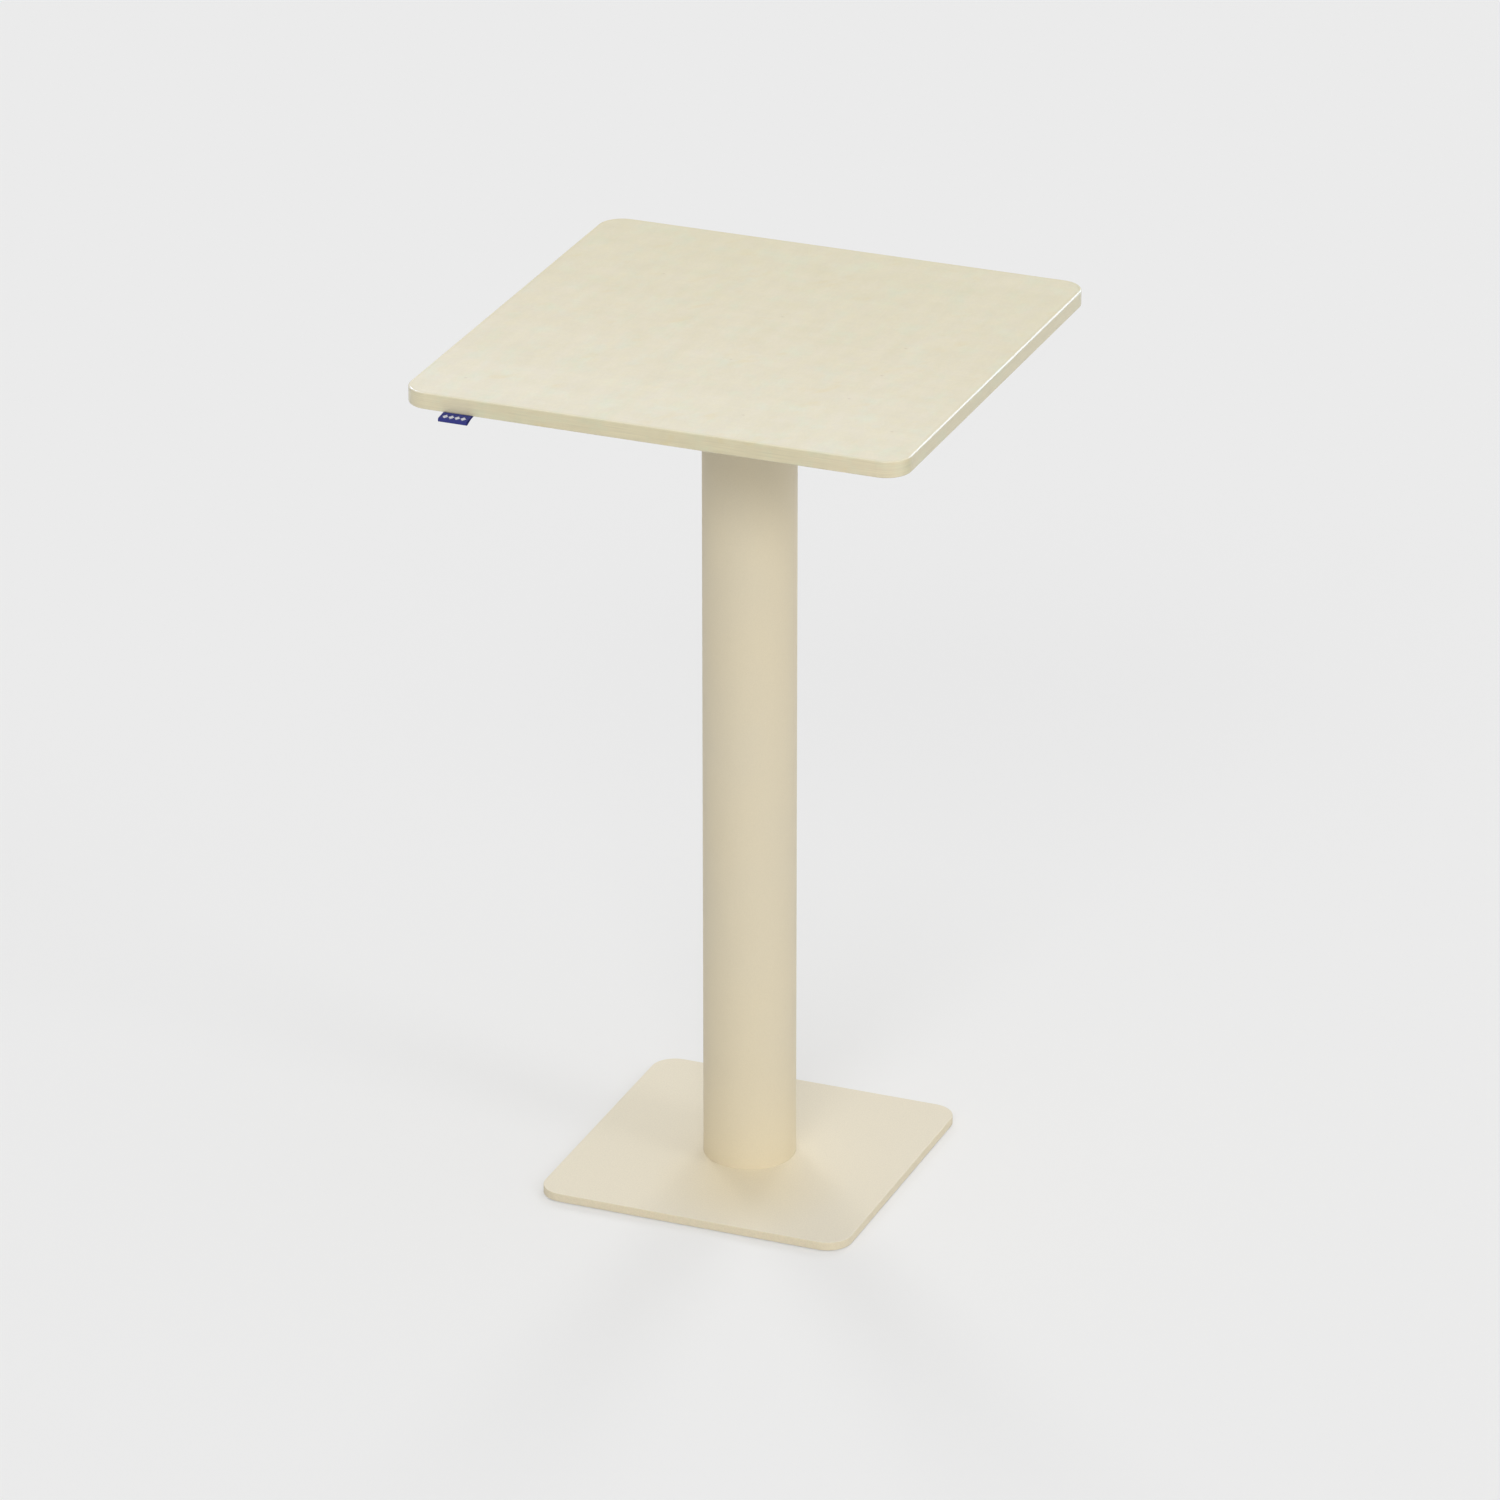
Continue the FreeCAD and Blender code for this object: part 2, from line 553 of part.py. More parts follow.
def piston():
    body = ring(PISTON_RADIUS, ROD_RADIUS + SEAT, PISTON_BOTTOM, PISTON_TOP)
    groove = ring(CYLINDER_BORE, PISTON_GROOVE_RADIUS, PISTON_SEAL_BOTTOM, PISTON_SEAL_TOP)
    return body.cut(groove)


export("piston", piston())
export("piston_seal", ring(PISTON_RADIUS, PISTON_GROOVE_RADIUS + SEAT, PISTON_SEAL_BOTTOM, PISTON_SEAL_TOP))
export("piston_rod", ring(ROD_RADIUS, RELEASE_PIN_BORE, PISTON_BOTTOM, ROD_TOP))
export("rod_nut", hex_nut(ROD_NUT_BOTTOM))
export("release_pin", disc(RELEASE_PIN_RADIUS, RELEASE_PIN_BOTTOM, RELEASE_PIN_TOP))


# Moving half of the column: inner tube, slide bush, guide key and stop collar

LEVER_RISE = (INNER_RADIUS - LEVER_ARM) * math.tan(math.radians(LEVER_SWING))
LEVER_SLOT_HALF = LEVER_SECTION / 2 + SLOT_PLAY
LEVER_SLOT_BOTTOM = LEVER_AXIS_Z - LEVER_SECTION / 2 - LEVER_REST_GAP
LEVER_SLOT_TOP = LEVER_AXIS_Z + LEVER_SECTION / 2 + LEVER_RISE + SLOT_PLAY
LOWER_BUSH_RADIUS = COLUMN_BORE - RUNNING_FIT
LOWER_BUSH_SCREW_RADIUS = LOWER_BUSH_RADIUS - HEAD_RECESS
LOWER_BUSH_SCREW_LENGTH = LOWER_BUSH_SCREW_RADIUS - INNER_BORE
GUIDE_KEY_SCREW_RADIUS = GUIDE_KEY_OUTER - HEAD_RECESS
GUIDE_KEY_SCREW_LENGTH = GUIDE_KEY_SCREW_RADIUS - INNER_BORE
GUIDE_KEY_SCREW_LEVELS = (
    GUIDE_KEY_BOTTOM + GUIDE_KEY_SCREW_INSET,
    (GUIDE_KEY_BOTTOM + GUIDE_KEY_TOP) / 2,
    GUIDE_KEY_TOP - GUIDE_KEY_SCREW_INSET,
)
COLLAR_SCREW_LENGTH = COLUMN_RADIUS - HEAD_RECESS - INNER_RADIUS - SEAT


def lower_bush_screws(make, *sizes):
    for place, outwards in around(LOWER_BUSH_SCREW_RADIUS, LOWER_BUSH_SCREW_Z, RADIAL_SCREW_ANGLES):
        yield aimed(make(*sizes), place, outwards)


def lower_bush_screw_holes():
    return list(lower_bush_screws(countersunk_hole, M4_RADIUS, M4_HEAD_RADIUS, LOWER_BUSH_SCREW_LENGTH))


def key_screws(make, *sizes):
    for level in GUIDE_KEY_SCREW_LEVELS:
        yield aimed(make(*sizes), point(0, GUIDE_KEY_SCREW_RADIUS, level), point(0, 1, 0))


def key_screw_holes():
    return list(key_screws(countersunk_hole, M4_RADIUS, M4_HEAD_RADIUS, GUIDE_KEY_SCREW_LENGTH))


def inner_tube():
    tube = ring(INNER_RADIUS, INNER_BORE, INNER_TUBE_BOTTOM, MOUNTING_PLATE_BOTTOM)
    slot = block(0, COLUMN_RADIUS, -LEVER_SLOT_HALF, LEVER_SLOT_HALF, LEVER_SLOT_BOTTOM, LEVER_SLOT_TOP)
    return cut_all(tube, [slot] + lower_bush_screw_holes() + key_screw_holes())


def lower_bush():
    """Slide bush on the lower end of the inner tube, with a lip under the tube."""
    sleeve = ring(LOWER_BUSH_RADIUS, INNER_RADIUS + SEAT, INNER_TUBE_BOTTOM, LOWER_BUSH_TOP)
    lip = ring(LOWER_BUSH_RADIUS, INNER_BORE, LOWER_BUSH_BOTTOM, INNER_TUBE_BOTTOM)
    return cut_all(sleeve.fuse(lip).removeSplitter(), lower_bush_screw_holes())


def guide_key():
    half = GUIDE_KEY_WIDTH / 2
    key = block(-half, half, 0, GUIDE_KEY_OUTER, GUIDE_KEY_BOTTOM, GUIDE_KEY_TOP)
    key = key.cut(disc(INNER_RADIUS + SEAT, GUIDE_KEY_BOTTOM, GUIDE_KEY_TOP))
    return cut_all(key, key_screw_holes())


def collar_screws(make):
    for place, outwards in around(INNER_RADIUS + SEAT, COLLAR_SCREW_Z, RADIAL_SCREW_ANGLES):
        yield aimed(make(), place, outwards)


def grub_screw():
    """A headless screw from the origin along +Z, with its key socket at the far end."""
    socket = hexagon(M5_SOCKET, COLLAR_SCREW_LENGTH - M5_SOCKET, COLLAR_SCREW_LENGTH)
    return Part.makeCylinder(M5_RADIUS, COLLAR_SCREW_LENGTH).cut(socket)


def grub_screw_hole():
    return Part.makeCylinder(M5_RADIUS + SEAT, COLUMN_RADIUS)


def stop_collar():
    collar = ring(COLUMN_RADIUS, INNER_RADIUS + SEAT, COLLAR_BOTTOM, COLLAR_TOP)
    return cut_all(collar, collar_screws(grub_screw_hole))


LOWER_BUSH_SCREWS = lower_bush_screws(
    countersunk_screw, M4_RADIUS, M4_HEAD_RADIUS, M4_SOCKET, LOWER_BUSH_SCREW_LENGTH)
KEY_SCREWS = key_screws(countersunk_screw, M4_RADIUS, M4_HEAD_RADIUS, M4_SOCKET, GUIDE_KEY_SCREW_LENGTH)

export("inner_tube", inner_tube())
export("lower_bush", lower_bush())
export("lower_bush_screws", Part.makeCompound(list(LOWER_BUSH_SCREWS)))
export("guide_key", guide_key())
export("guide_key_screws", Part.makeCompound(list(KEY_SCREWS)))
export("stop_collar", stop_collar())
export("collar_screws", Part.makeCompound(list(collar_screws(grub_screw))))


# Mounting plate with its gussets and screws

MOUNTING_SCREW_LENGTH = MOUNTING_PLATE_THICKNESS + INSERT_LENGTH - SCREW_TIP_MARGIN
HEAD_SCREW_TOP = UNDERSIDE - HEAD_RECESS


def head_screws(make, *sizes):
    for place, outwards in around(HEAD_SCREW_CIRCLE, HEAD_SCREW_TOP, HEAD_SCREW_ANGLES):
        yield aimed(make(*sizes), place, UP)


def head_screw_holes():
    return list(head_screws(countersunk_hole, M5_RADIUS, M5_HEAD_RADIUS, HEAD_SCREW_LENGTH))


def mounting_plate():
    plate = rounded_slab(MOUNTING_PLATE_SIDE, MOUNTING_PLATE_CORNER, MOUNTING_PLATE_BOTTOM, UNDERSIDE)
    for x, y in mounting_screw_places():
        plate = plate.cut(disc(M6_RADIUS + BUFFER_PLAY, MOUNTING_PLATE_BOTTOM, UNDERSIDE, x, y))
    return cut_all(plate, head_screw_holes())


def gusset(degrees):
    """A triangular rib with a blunt toe, between the inner tube and the plate."""
    outline = [
        point(INNER_RADIUS - INNER_TUBE_WALL / 2, 0, MOUNTING_PLATE_BOTTOM),
        point(INNER_RADIUS + GUSSET_LENGTH, 0, MOUNTING_PLATE_BOTTOM),
        point(INNER_RADIUS + GUSSET_LENGTH, 0, MOUNTING_PLATE_BOTTOM - GUSSET_TOE),
        point(INNER_RADIUS + GUSSET_TOE, 0, MOUNTING_PLATE_BOTTOM - GUSSET_HEIGHT),
        point(INNER_RADIUS - INNER_TUBE_WALL / 2, 0, MOUNTING_PLATE_BOTTOM - GUSSET_HEIGHT),
    ]
    rib = Part.Face(Part.makePolygon(outline + outline[:1])).extrude(point(0, GUSSET_THICKNESS, 0))
    rib.translate(point(0, -GUSSET_THICKNESS / 2, 0))
    rib = rib.cut(disc(INNER_RADIUS + SEAT, MOUNTING_PLATE_BOTTOM - GUSSET_HEIGHT, MOUNTING_PLATE_BOTTOM))
    rib.rotate(point(0, 0, 0), UP, degrees)
    return rib


def mounting_screw(x, y):
    """A button head screw pointing up through the plate into its insert."""
    head = disc(M6_HEAD_RADIUS, MOUNTING_PLATE_BOTTOM - M6_HEAD_HEIGHT, MOUNTING_PLATE_BOTTOM, x, y)
    head = head.makeFillet(M6_HEAD_HEIGHT / 2, level_edges(head, MOUNTING_PLATE_BOTTOM - M6_HEAD_HEIGHT))
    shank_top = MOUNTING_PLATE_BOTTOM + MOUNTING_SCREW_LENGTH
    shank = disc(M6_RADIUS, MOUNTING_PLATE_BOTTOM, shank_top, x, y)
    socket_bottom = MOUNTING_PLATE_BOTTOM - M6_HEAD_HEIGHT
    socket = hexagon(M6_SOCKET, socket_bottom, socket_bottom + M6_HEAD_HEIGHT / 2, x, y)
    return head.fuse(shank).removeSplitter().cut(socket)


export("mounting_plate", mounting_plate())
export("plate_gussets", Part.makeCompound([gusset(degrees) for degrees in GUSSET_ANGLES]))
export("mounting_screws", Part.makeCompound([mounting_screw(*place) for place in mounting_screw_places()]))


# Release head, lever and grip

PIVOT_PIN_HALF = math.sqrt(HEAD_RADIUS ** 2 - (LEVER_ARM + PIVOT_PIN_RADIUS) ** 2) - PIVOT_PIN_RECESS


def pivot_cylinder(radius, half_length):
    start = point(LEVER_ARM, -half_length, LEVER_AXIS_Z)
    return Part.makeCylinder(radius, 2 * half_length, start, point(0, 1, 0))


def release_head():
    head = disc(HEAD_RADIUS, HEAD_BOTTOM, MOUNTING_PLATE_BOTTOM)
    rod_hole = disc(ROD_RADIUS + SEAT, HEAD_BOTTOM, ROD_TOP)
    half_slot = LEVER_SLOT_HALF
    slot = block(-HEAD_SLOT_BACK, HEAD_RADIUS, -half_slot, half_slot, ROD_TOP, MOUNTING_PLATE_BOTTOM)
    pivot_hole = pivot_cylinder(PIVOT_PIN_RADIUS + SEAT, HEAD_RADIUS)
    return cut_all(head, [rod_hole, slot, pivot_hole] + head_screw_holes())


def sloped(shape):
    """Lay a shape made along +X from the origin on the lever's lowered outer arm."""
    shape.rotate(point(0, 0, 0), point(0, 1, 0), math.degrees(LEVER_SLOPE))
    shape.translate(point(LEVER_BEND_X, 0, LEVER_AXIS_Z))
    return shape


def across_lever(radius, x):
    half = LEVER_SECTION / 2
    return Part.makeCylinder(radius, LEVER_SECTION, point(x, -half, LEVER_AXIS_Z), point(0, 1, 0))


ARM_LENGTH = math.hypot(LEVER_REACH - LEVER_BEND_X, LEVER_DROP)
GRIP_OFFSET = ARM_LENGTH - GRIP_LENGTH


def release_lever():
    half = LEVER_SECTION / 2
    inner_bar = block(0, LEVER_BEND_X, -half, half, LEVER_AXIS_Z - half, LEVER_AXIS_Z + half)
    outer_bar = sloped(block(0, GRIP_OFFSET + GRIP_POCKET_DEPTH, -half, half, -half, half))
    lever = inner_bar.fuse(outer_bar)
    for radius, x in ((half, 0), (LEVER_BOSS_RADIUS, LEVER_ARM), (half, LEVER_BEND_X)):
        lever = lever.fuse(across_lever(radius, x))
    return lever.removeSplitter().cut(pivot_cylinder(PIVOT_PIN_RADIUS + RUNNING_FIT, LEVER_SECTION))


def lever_grip():
    half_width = GRIP_WIDTH / 2
    half_thick = GRIP_THICKNESS / 2
    pocket_half = LEVER_SECTION / 2 + SEAT
    grip = block(GRIP_OFFSET, ARM_LENGTH, -half_width, half_width, -half_thick, half_thick)
    grip = grip.makeFillet(GRIP_ROUNDING, grip.Edges)
    pocket_end = GRIP_OFFSET + GRIP_POCKET_DEPTH + SEAT
    pocket = block(GRIP_OFFSET, pocket_end, -pocket_half, pocket_half, -pocket_half, pocket_half)
    return sloped(grip.cut(pocket))


HEAD_SCREWS = head_screws(countersunk_screw, M5_RADIUS, M5_HEAD_RADIUS, M5_SOCKET, HEAD_SCREW_LENGTH)

export("release_head", release_head())
export("head_screws", Part.makeCompound(list(HEAD_SCREWS)))
export("lever_pivot_pin", pivot_cylinder(PIVOT_PIN_RADIUS, PIVOT_PIN_HALF))
export("release_lever", release_lever())
export("lever_grip", lever_grip())
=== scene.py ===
import math

import bpy
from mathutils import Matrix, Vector


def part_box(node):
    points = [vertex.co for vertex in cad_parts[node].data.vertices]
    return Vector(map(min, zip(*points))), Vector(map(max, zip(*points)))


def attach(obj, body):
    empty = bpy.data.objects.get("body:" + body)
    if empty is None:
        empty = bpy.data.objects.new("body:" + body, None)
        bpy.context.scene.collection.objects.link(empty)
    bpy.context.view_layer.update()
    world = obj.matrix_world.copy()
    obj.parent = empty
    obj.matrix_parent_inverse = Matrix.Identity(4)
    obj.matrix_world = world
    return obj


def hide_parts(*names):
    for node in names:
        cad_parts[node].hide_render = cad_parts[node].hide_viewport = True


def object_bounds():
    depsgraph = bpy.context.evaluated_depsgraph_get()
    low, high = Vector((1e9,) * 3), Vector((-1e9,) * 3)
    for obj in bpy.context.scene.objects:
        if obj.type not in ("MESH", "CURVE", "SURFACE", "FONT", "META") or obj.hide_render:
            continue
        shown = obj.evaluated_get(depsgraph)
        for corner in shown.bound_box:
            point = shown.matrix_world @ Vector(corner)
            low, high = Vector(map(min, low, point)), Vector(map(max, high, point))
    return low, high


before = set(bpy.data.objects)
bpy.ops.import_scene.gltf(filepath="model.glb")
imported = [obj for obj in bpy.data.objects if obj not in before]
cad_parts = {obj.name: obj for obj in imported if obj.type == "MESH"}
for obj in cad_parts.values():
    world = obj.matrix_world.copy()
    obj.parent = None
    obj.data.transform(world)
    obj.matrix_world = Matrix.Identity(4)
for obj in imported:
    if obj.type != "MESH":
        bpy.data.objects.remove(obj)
cad_low, cad_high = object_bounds()

# Pedestal table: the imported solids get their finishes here, and the ribbon tag, its woven lozenges,
# the weld beads under the top and the ribs of the lever's grip are made as meshes.

# Ribbon tag, in metres
RIBBON_THICKNESS = 0.00048
RIBBON_COLUMNS = 68
RIBBON_STEP = 0.0008
RIBBON_BULGE = 0.0013
BULGE_START = -0.0015
BULGE_END = 0.0015
RIBBON_SLOPE = 0.105
FOLD_SQUARENESS = 3.2
FOLD_STEPS = 24
LOWER_LAYER_HUG = 1.4
SELVEDGE_WIDTH = 0.0012
SELVEDGE_BULGE = 0.22
SELVEDGE_RIM = 0.6
WEFT_PITCH = 0.0012
WEFT_WAVE = 0.00007

# Woven lozenges on the tag, with pitch, flatness and tip as shares of a thread's radius or length
LOZENGE_COUNT = 4
LOZENGE_SPACING = 0.0073
LOZENGE_DEPTH = 0.0108
LOZENGE_HALF_LENGTH = 0.0047
LOZENGE_TIP = 1.12
THREAD_COUNT = 15
THREAD_RADIUS = 0.00025
THREAD_PITCH = 1.7
THREAD_FLATNESS = 0.7

# Welds between inner tube, gussets and mounting plate
WELD_RADIUS = 0.0021
WELD_SINK = 0.0007
WELD_RIPPLE = 0.0024
WELD_THINNEST = 0.75
WELD_RIPPLE_SWELL = 0.2
WELD_WOBBLE_SWELL = 0.3
WELD_WOBBLE_SCALE = 400.0
WELD_SIDES = 10
STEPS_PER_RIPPLE = 6.0
WELD_ARC_STEPS = 32
GUSSET_TURNS = (45, 135, 225, 315)
GUSSET_HALF = 0.002
WELD_GAP_TURN = 5.0
GUSSET_WELD_LENGTH = 0.052
GUSSET_WELD_DROP = 0.024

# Lever and grip, as in the part's own frame
LEVER_BEND = (0.07012, 0.0, 1.00715)
LEVER_REACH = 0.24
LEVER_DROP = 0.024
LEVER_SLOPE = math.atan2(LEVER_DROP, LEVER_REACH - LEVER_BEND[0])
GRIP_START = 0.0866
GRIP_UNDERSIDE = -0.0065
RIB_COUNT = 7
RIB_PITCH = 0.0095
RIB_INSET = 0.014
RIB_SIZE = (0.0016, 0.0085, 0.0009)

# Camera
CAMERA_TURN = math.radians(21.952)
CAMERA_RISE = math.radians(24.026)
CAMERA_DISTANCE = 9.711
CAMERA_LENS = 199.6
CAMERA_AIM = Vector((0.0003, 0.0, 0.5316))
SENSOR_WIDTH = 36.0
CAMERA_FAR = 100.0

# Floor and dome
FLOOR_HALF = 20.0
FLOOR_LEVEL = -0.0005
BACKDROP_GREY = 235
SHADOW_NEAR = 0.74
SHADOW_MIDDLE = 0.36
SHADOW_FAR = 0.2
NEAR_REACH = 0.3
MIDDLE_REACH = 0.9
FAR_REACH = 2.2
LIGHT_LEVEL = 0.894
DOME_LEVEL = 0.51
DOME_LEAN = 0.24

# Softboxes: each has its turn from the front in degrees and its share of the level light
SOFTBOX_RISE = math.radians(33.8)
SOFTBOX_WIDTH = math.radians(15)
RIGHT_SOFTBOX = (77.5, 0.052)
FRONT_SOFTBOX_TURNS = (-0.5, 12.5, 25.5)
FRONT_SOFTBOX_SHARE = 0.055
BACK_SOFTBOX = (181.5, 0.08)
BACK_LEFT_SOFTBOX = (-137.7, 0.088)

# Panels for the shine on the board's edges: turn and rise, span, power and tint
PANEL_AWAY = 1.2
EDGE_PANEL_WAY = (math.radians(154.3), math.radians(20))
EDGE_PANEL_SPAN = 1.22
EDGE_PANEL_POWER = 14.0
EDGE_PANEL_TINT = (0.5, 0.66, 1.0)
CORNER_PANEL_WAY = (math.radians(-130), math.radians(37))
CORNER_PANEL_SPAN = 0.6
CORNER_PANEL_POWER = 8.2
CORNER_PANEL_TINT = (0.5, 0.62, 1.0)


# Building blocks for node trees

NOISE_LOW = 0.3
NOISE_HIGH = 0.7


def paint(red, green, blue):
    """A colour given as on a screen, 0 to 255, as Blender's linear colour."""
    linear = []
    for value in (red, green, blue):
        share = value / 255
        linear.append(share / 12.92 if share <= 0.04045 else ((share + 0.055) / 1.055) ** 2.4)
    return (*linear, 1.0)


def put(tree, kind, inputs=None, **settings):
    """Adds a node, sets it up, and joins or fills its inputs."""
    made = tree.nodes.new(kind)
    for name, value in settings.items():
        setattr(made, name, value)
    for name, value in (inputs or {}).items():
        if isinstance(value, bpy.types.NodeSocket):
            tree.links.new(value, made.inputs[name])
        else:
            made.inputs[name].default_value = value
    return made


def sums(tree, operation, first, second=0.0):
    """One step of arithmetic."""
    return put(tree, "ShaderNodeMath", {0: first, 1: second}, operation=operation).outputs[0]


def own_place(tree):
    """A place on a piece in its own coordinates."""
    return put(tree, "ShaderNodeTexCoord").outputs["Object"]


def along_axis(tree, vector, axis):
    """How far a vector goes along X, Y or Z."""
    return put(tree, "ShaderNodeSeparateXYZ", {"Vector": vector}).outputs[axis]


def where(tree, size, turn=0.0):
    """Places on a piece in its own coordinates, measured in grains of the given size."""
    inputs = {"Vector": own_place(tree), "Rotation": (0.0, 0.0, turn), "Scale": size}
    return put(tree, "ShaderNodeMapping", inputs, vector_type="TEXTURE").outputs["Vector"]


def clouds(tree, size, turn=0.0, detail=2.0, roughness=0.5, place=None):
    """Soft noise whose lumps have the given size in metres along X, Y and Z."""
    place = place or where(tree, size, turn)
    inputs = {"Vector": place, "Scale": 1.0, "Detail": detail, "Roughness": roughness}
    return put(tree, "ShaderNodeTexNoise", inputs).outputs["Fac"]


def cells(tree, size, channel, **settings):
    """Grains of the given size: a random shade for each, and the distance from its middle."""
    inputs = {"Vector": where(tree, size), "Scale": 1.0}
    grains = put(tree, "ShaderNodeTexVoronoi", inputs, **settings).outputs
    shade = put(tree, "ShaderNodeSeparateColor", {"Color": grains["Color"]}).outputs[channel]
    return shade, grains["Distance"]


def spread(tree, value, low, high, start=0.0, end=1.0):
    """Runs from start to end while a value runs from low to high."""
    inputs = {0: value, 1: low, 2: high, 3: start, 4: end}
    return put(tree, "ShaderNodeMapRange", inputs).outputs["Result"]


def mixed(tree, share, first, second, blend="MIX"):
    """The first colour with a share of the second."""
    inputs = {0: share, 6: first, 7: second}
    return put(tree, "ShaderNodeMix", inputs, data_type="RGBA", blend_type=blend).outputs[2]


def times(tree, colour, factor):
    """A colour multiplied by another colour or by a number."""
    return mixed(tree, 1.0, colour, factor, "MULTIPLY")


def toned(tree, colour, noise, darkest, palest):
    """A colour that a noise darkens and lightens between two factors."""
    return times(tree, colour, spread(tree, noise, NOISE_LOW, NOISE_HIGH, darkest, palest))


def new_finish(name, roughness, metal=0.0, values=None):
    """A new material, with its node tree and its shader."""
    finish = bpy.data.materials.new(name)
    finish.use_nodes = True
    shader = finish.node_tree.nodes["Principled BSDF"]
    shader.inputs["Roughness"].default_value = roughness
    shader.inputs["Metallic"].default_value = metal
    for label, value in (values or {}).items():
        shader.inputs[label].default_value = value
    return finish, finish.node_tree, shader


def colour_of(tree, shader, colour):
    """Gives a shader its colour."""
    tree.links.new(colour, shader.inputs["Base Color"])


def gloss_of(tree, shader, noise, smoothest, roughest):
    """Lets a noise vary a shader's roughness."""
    roughness = spread(tree, noise, NOISE_LOW, NOISE_HIGH, smoothest, roughest)
    tree.links.new(roughness, shader.inputs["Roughness"])


def relief(tree, shader, height, depth):
    """Raises the surface by a height pattern, with its depth in metres."""
    bump = put(tree, "ShaderNodeBump", {"Strength": 1.0, "Distance": depth, "Height": height})
    tree.links.new(bump.outputs["Normal"], shader.inputs["Normal"])


def upward_share(tree, low, high):
    """Nought on upright faces and one on those that look up."""
    facing = put(tree, "ShaderNodeNewGeometry").outputs["True Normal"]
    return spread(tree, along_axis(tree, facing, "Z"), low, high)


# Maple

MAPLE_TAN = paint(228.7, 219.5, 189.4)
MAPLE_GREEN = paint(225.0, 222.3, 193.6)
MAPLE_STAIN = paint(228, 211, 162)
MAPLE_SPECK = paint(176, 146, 108)
SPECK_SHARE = 0.2
# Painted sheen across the board: factors that make the maple paler towards the front and darker towards
# the back
SHEEN_FRONT = (1.099, 1.111, 1.151, 1.0)
SHEEN_MIDDLE = (1.044, 1.037, 1.021, 1.0)
SHEEN_BACK = (0.981, 0.978, 0.911, 1.0)
SHEEN_START = -0.02
SHEEN_END = -0.25
LONG_STREAKS = (0.8, 0.06, 0.5)
CROSS_STREAKS = (0.045, 0.8, 0.5)
STREAK_DARK = (0.983, 0.981, 0.962, 1.0)
STREAK_PALE = (1.017, 1.019, 1.038, 1.0)
FLECKS = (0.02, 0.03, 0.03)
FLECK_YELLOW = (1.0, 1.0, 0.955, 1.0)
FLECK_GREY = (1.0, 1.0, 1.045, 1.0)
# Painted shade on the lipping's upright sides: the front is darkened, and the right side more so, as the
# light falls on them
FRONT_SHADE_START = (0.985, 0.98, 0.947, 1.0)
FRONT_SIDE_SHADE = (0.92, 0.912, 0.862, 1.0)
FRONT_SHADE_END = (0.972, 0.948, 0.915, 1.0)
RIGHT_SIDE_SHADE = (0.866, 0.852, 0.772, 1.0)
START_RAMP = (-0.225, -0.185)
END_RAMP = (0.165, 0.235)
CORNER_RAMP = (0.297, 0.302)
SATIN_LACQUER = {"Coat Weight": 1.0, "Coat Roughness": 0.18}
LIPPING_LACQUER = {"Coat Weight": 1.0, "Coat Roughness": 0.18, "Specular IOR Level": 0.1}


def maple_tone(tree):
    """Pale maple: tan and greenish patches with a soft curl across the grain."""
    patches = clouds(tree, size=(0.036, 0.055, 0.025), turn=0.1, detail=4.0, roughness=0.62)
    tone = mixed(tree, spread(tree, patches, low=0.5, high=0.7), MAPLE_TAN, MAPLE_GREEN)
    curl = clouds(tree, size=(0.02, 0.036, 0.03), turn=-0.12, detail=3.0)
    tone = toned(tree, tone, curl, darkest=0.98, palest=1.02)
    stains = clouds(tree, size=(0.05, 0.03, 0.02), turn=0.9, roughness=0.6)
    return mixed(tree, spread(tree, stains, low=0.62, high=0.8, end=0.5), tone, MAPLE_STAIN)


def tinted(tree, tone, size, low_tint, high_tint):
    """Wood between two faint tints, in lumps or streaks of the given size."""
    noise = clouds(tree, size, detail=6.0, roughness=0.75)
    share = spread(tree, noise, NOISE_LOW, NOISE_HIGH)
    return times(tree, tone, mixed(tree, share, low_tint, high_tint))


def with_painted_sheen(tree, tone):
    """Maple with a painted sheen: paler towards the front of the board and darker towards the back, as the
    light falls.
    """
    depth = along_axis(tree, own_place(tree), "Y")
    painted_sheen = mixed(tree, spread(tree, depth, SHEEN_START, cad_high.y), SHEEN_MIDDLE, SHEEN_BACK)
    painted_sheen = mixed(tree, spread(tree, depth, SHEEN_END, SHEEN_START), SHEEN_FRONT, painted_sheen)
    return times(tree, tone, painted_sheen)


def maple_veneer():
    """The board's face: streaks, fine lines, pores, a few dark specks and a painted sheen towards the
    front.
    """
    finish, tree, shader = new_finish("pale maple face veneer", roughness=0.45, values=SATIN_LACQUER)
    tone = with_painted_sheen(tree, maple_tone(tree))
    tone = tinted(tree, tone, LONG_STREAKS, STREAK_DARK, STREAK_PALE)
    tone = tinted(tree, tone, CROSS_STREAKS, STREAK_DARK, STREAK_PALE)
    tone = tinted(tree, tone, FLECKS, FLECK_YELLOW, FLECK_GREY)
    lines = clouds(tree, size=(0.06, 0.0012, 0.03), detail=3.0, roughness=0.6)
    tone = toned(tree, tone, lines, darkest=0.982, palest=1.018)
    pores = clouds(tree, size=(0.0028, 0.007, 0.003))
    tone = toned(tree, tone, pores, darkest=0.986, palest=1.014)
    pick, away = cells(tree, size=(0.085, 0.06, 1.0), channel="Red", voronoi_dimensions="2D")
    specks = spread(tree, away, low=0.008, high=0.035, start=0.25, end=0.0)
    specks = sums(tree, "MULTIPLY", specks, sums(tree, "LESS_THAN", pick, SPECK_SHARE))
    colour_of(tree, shader, mixed(tree, specks, tone, MAPLE_SPECK))
    gloss_of(tree, shader, lines, smoothest=0.4, roughest=0.5)
    relief(tree, shader, lines, depth=0.00002)
    return finish


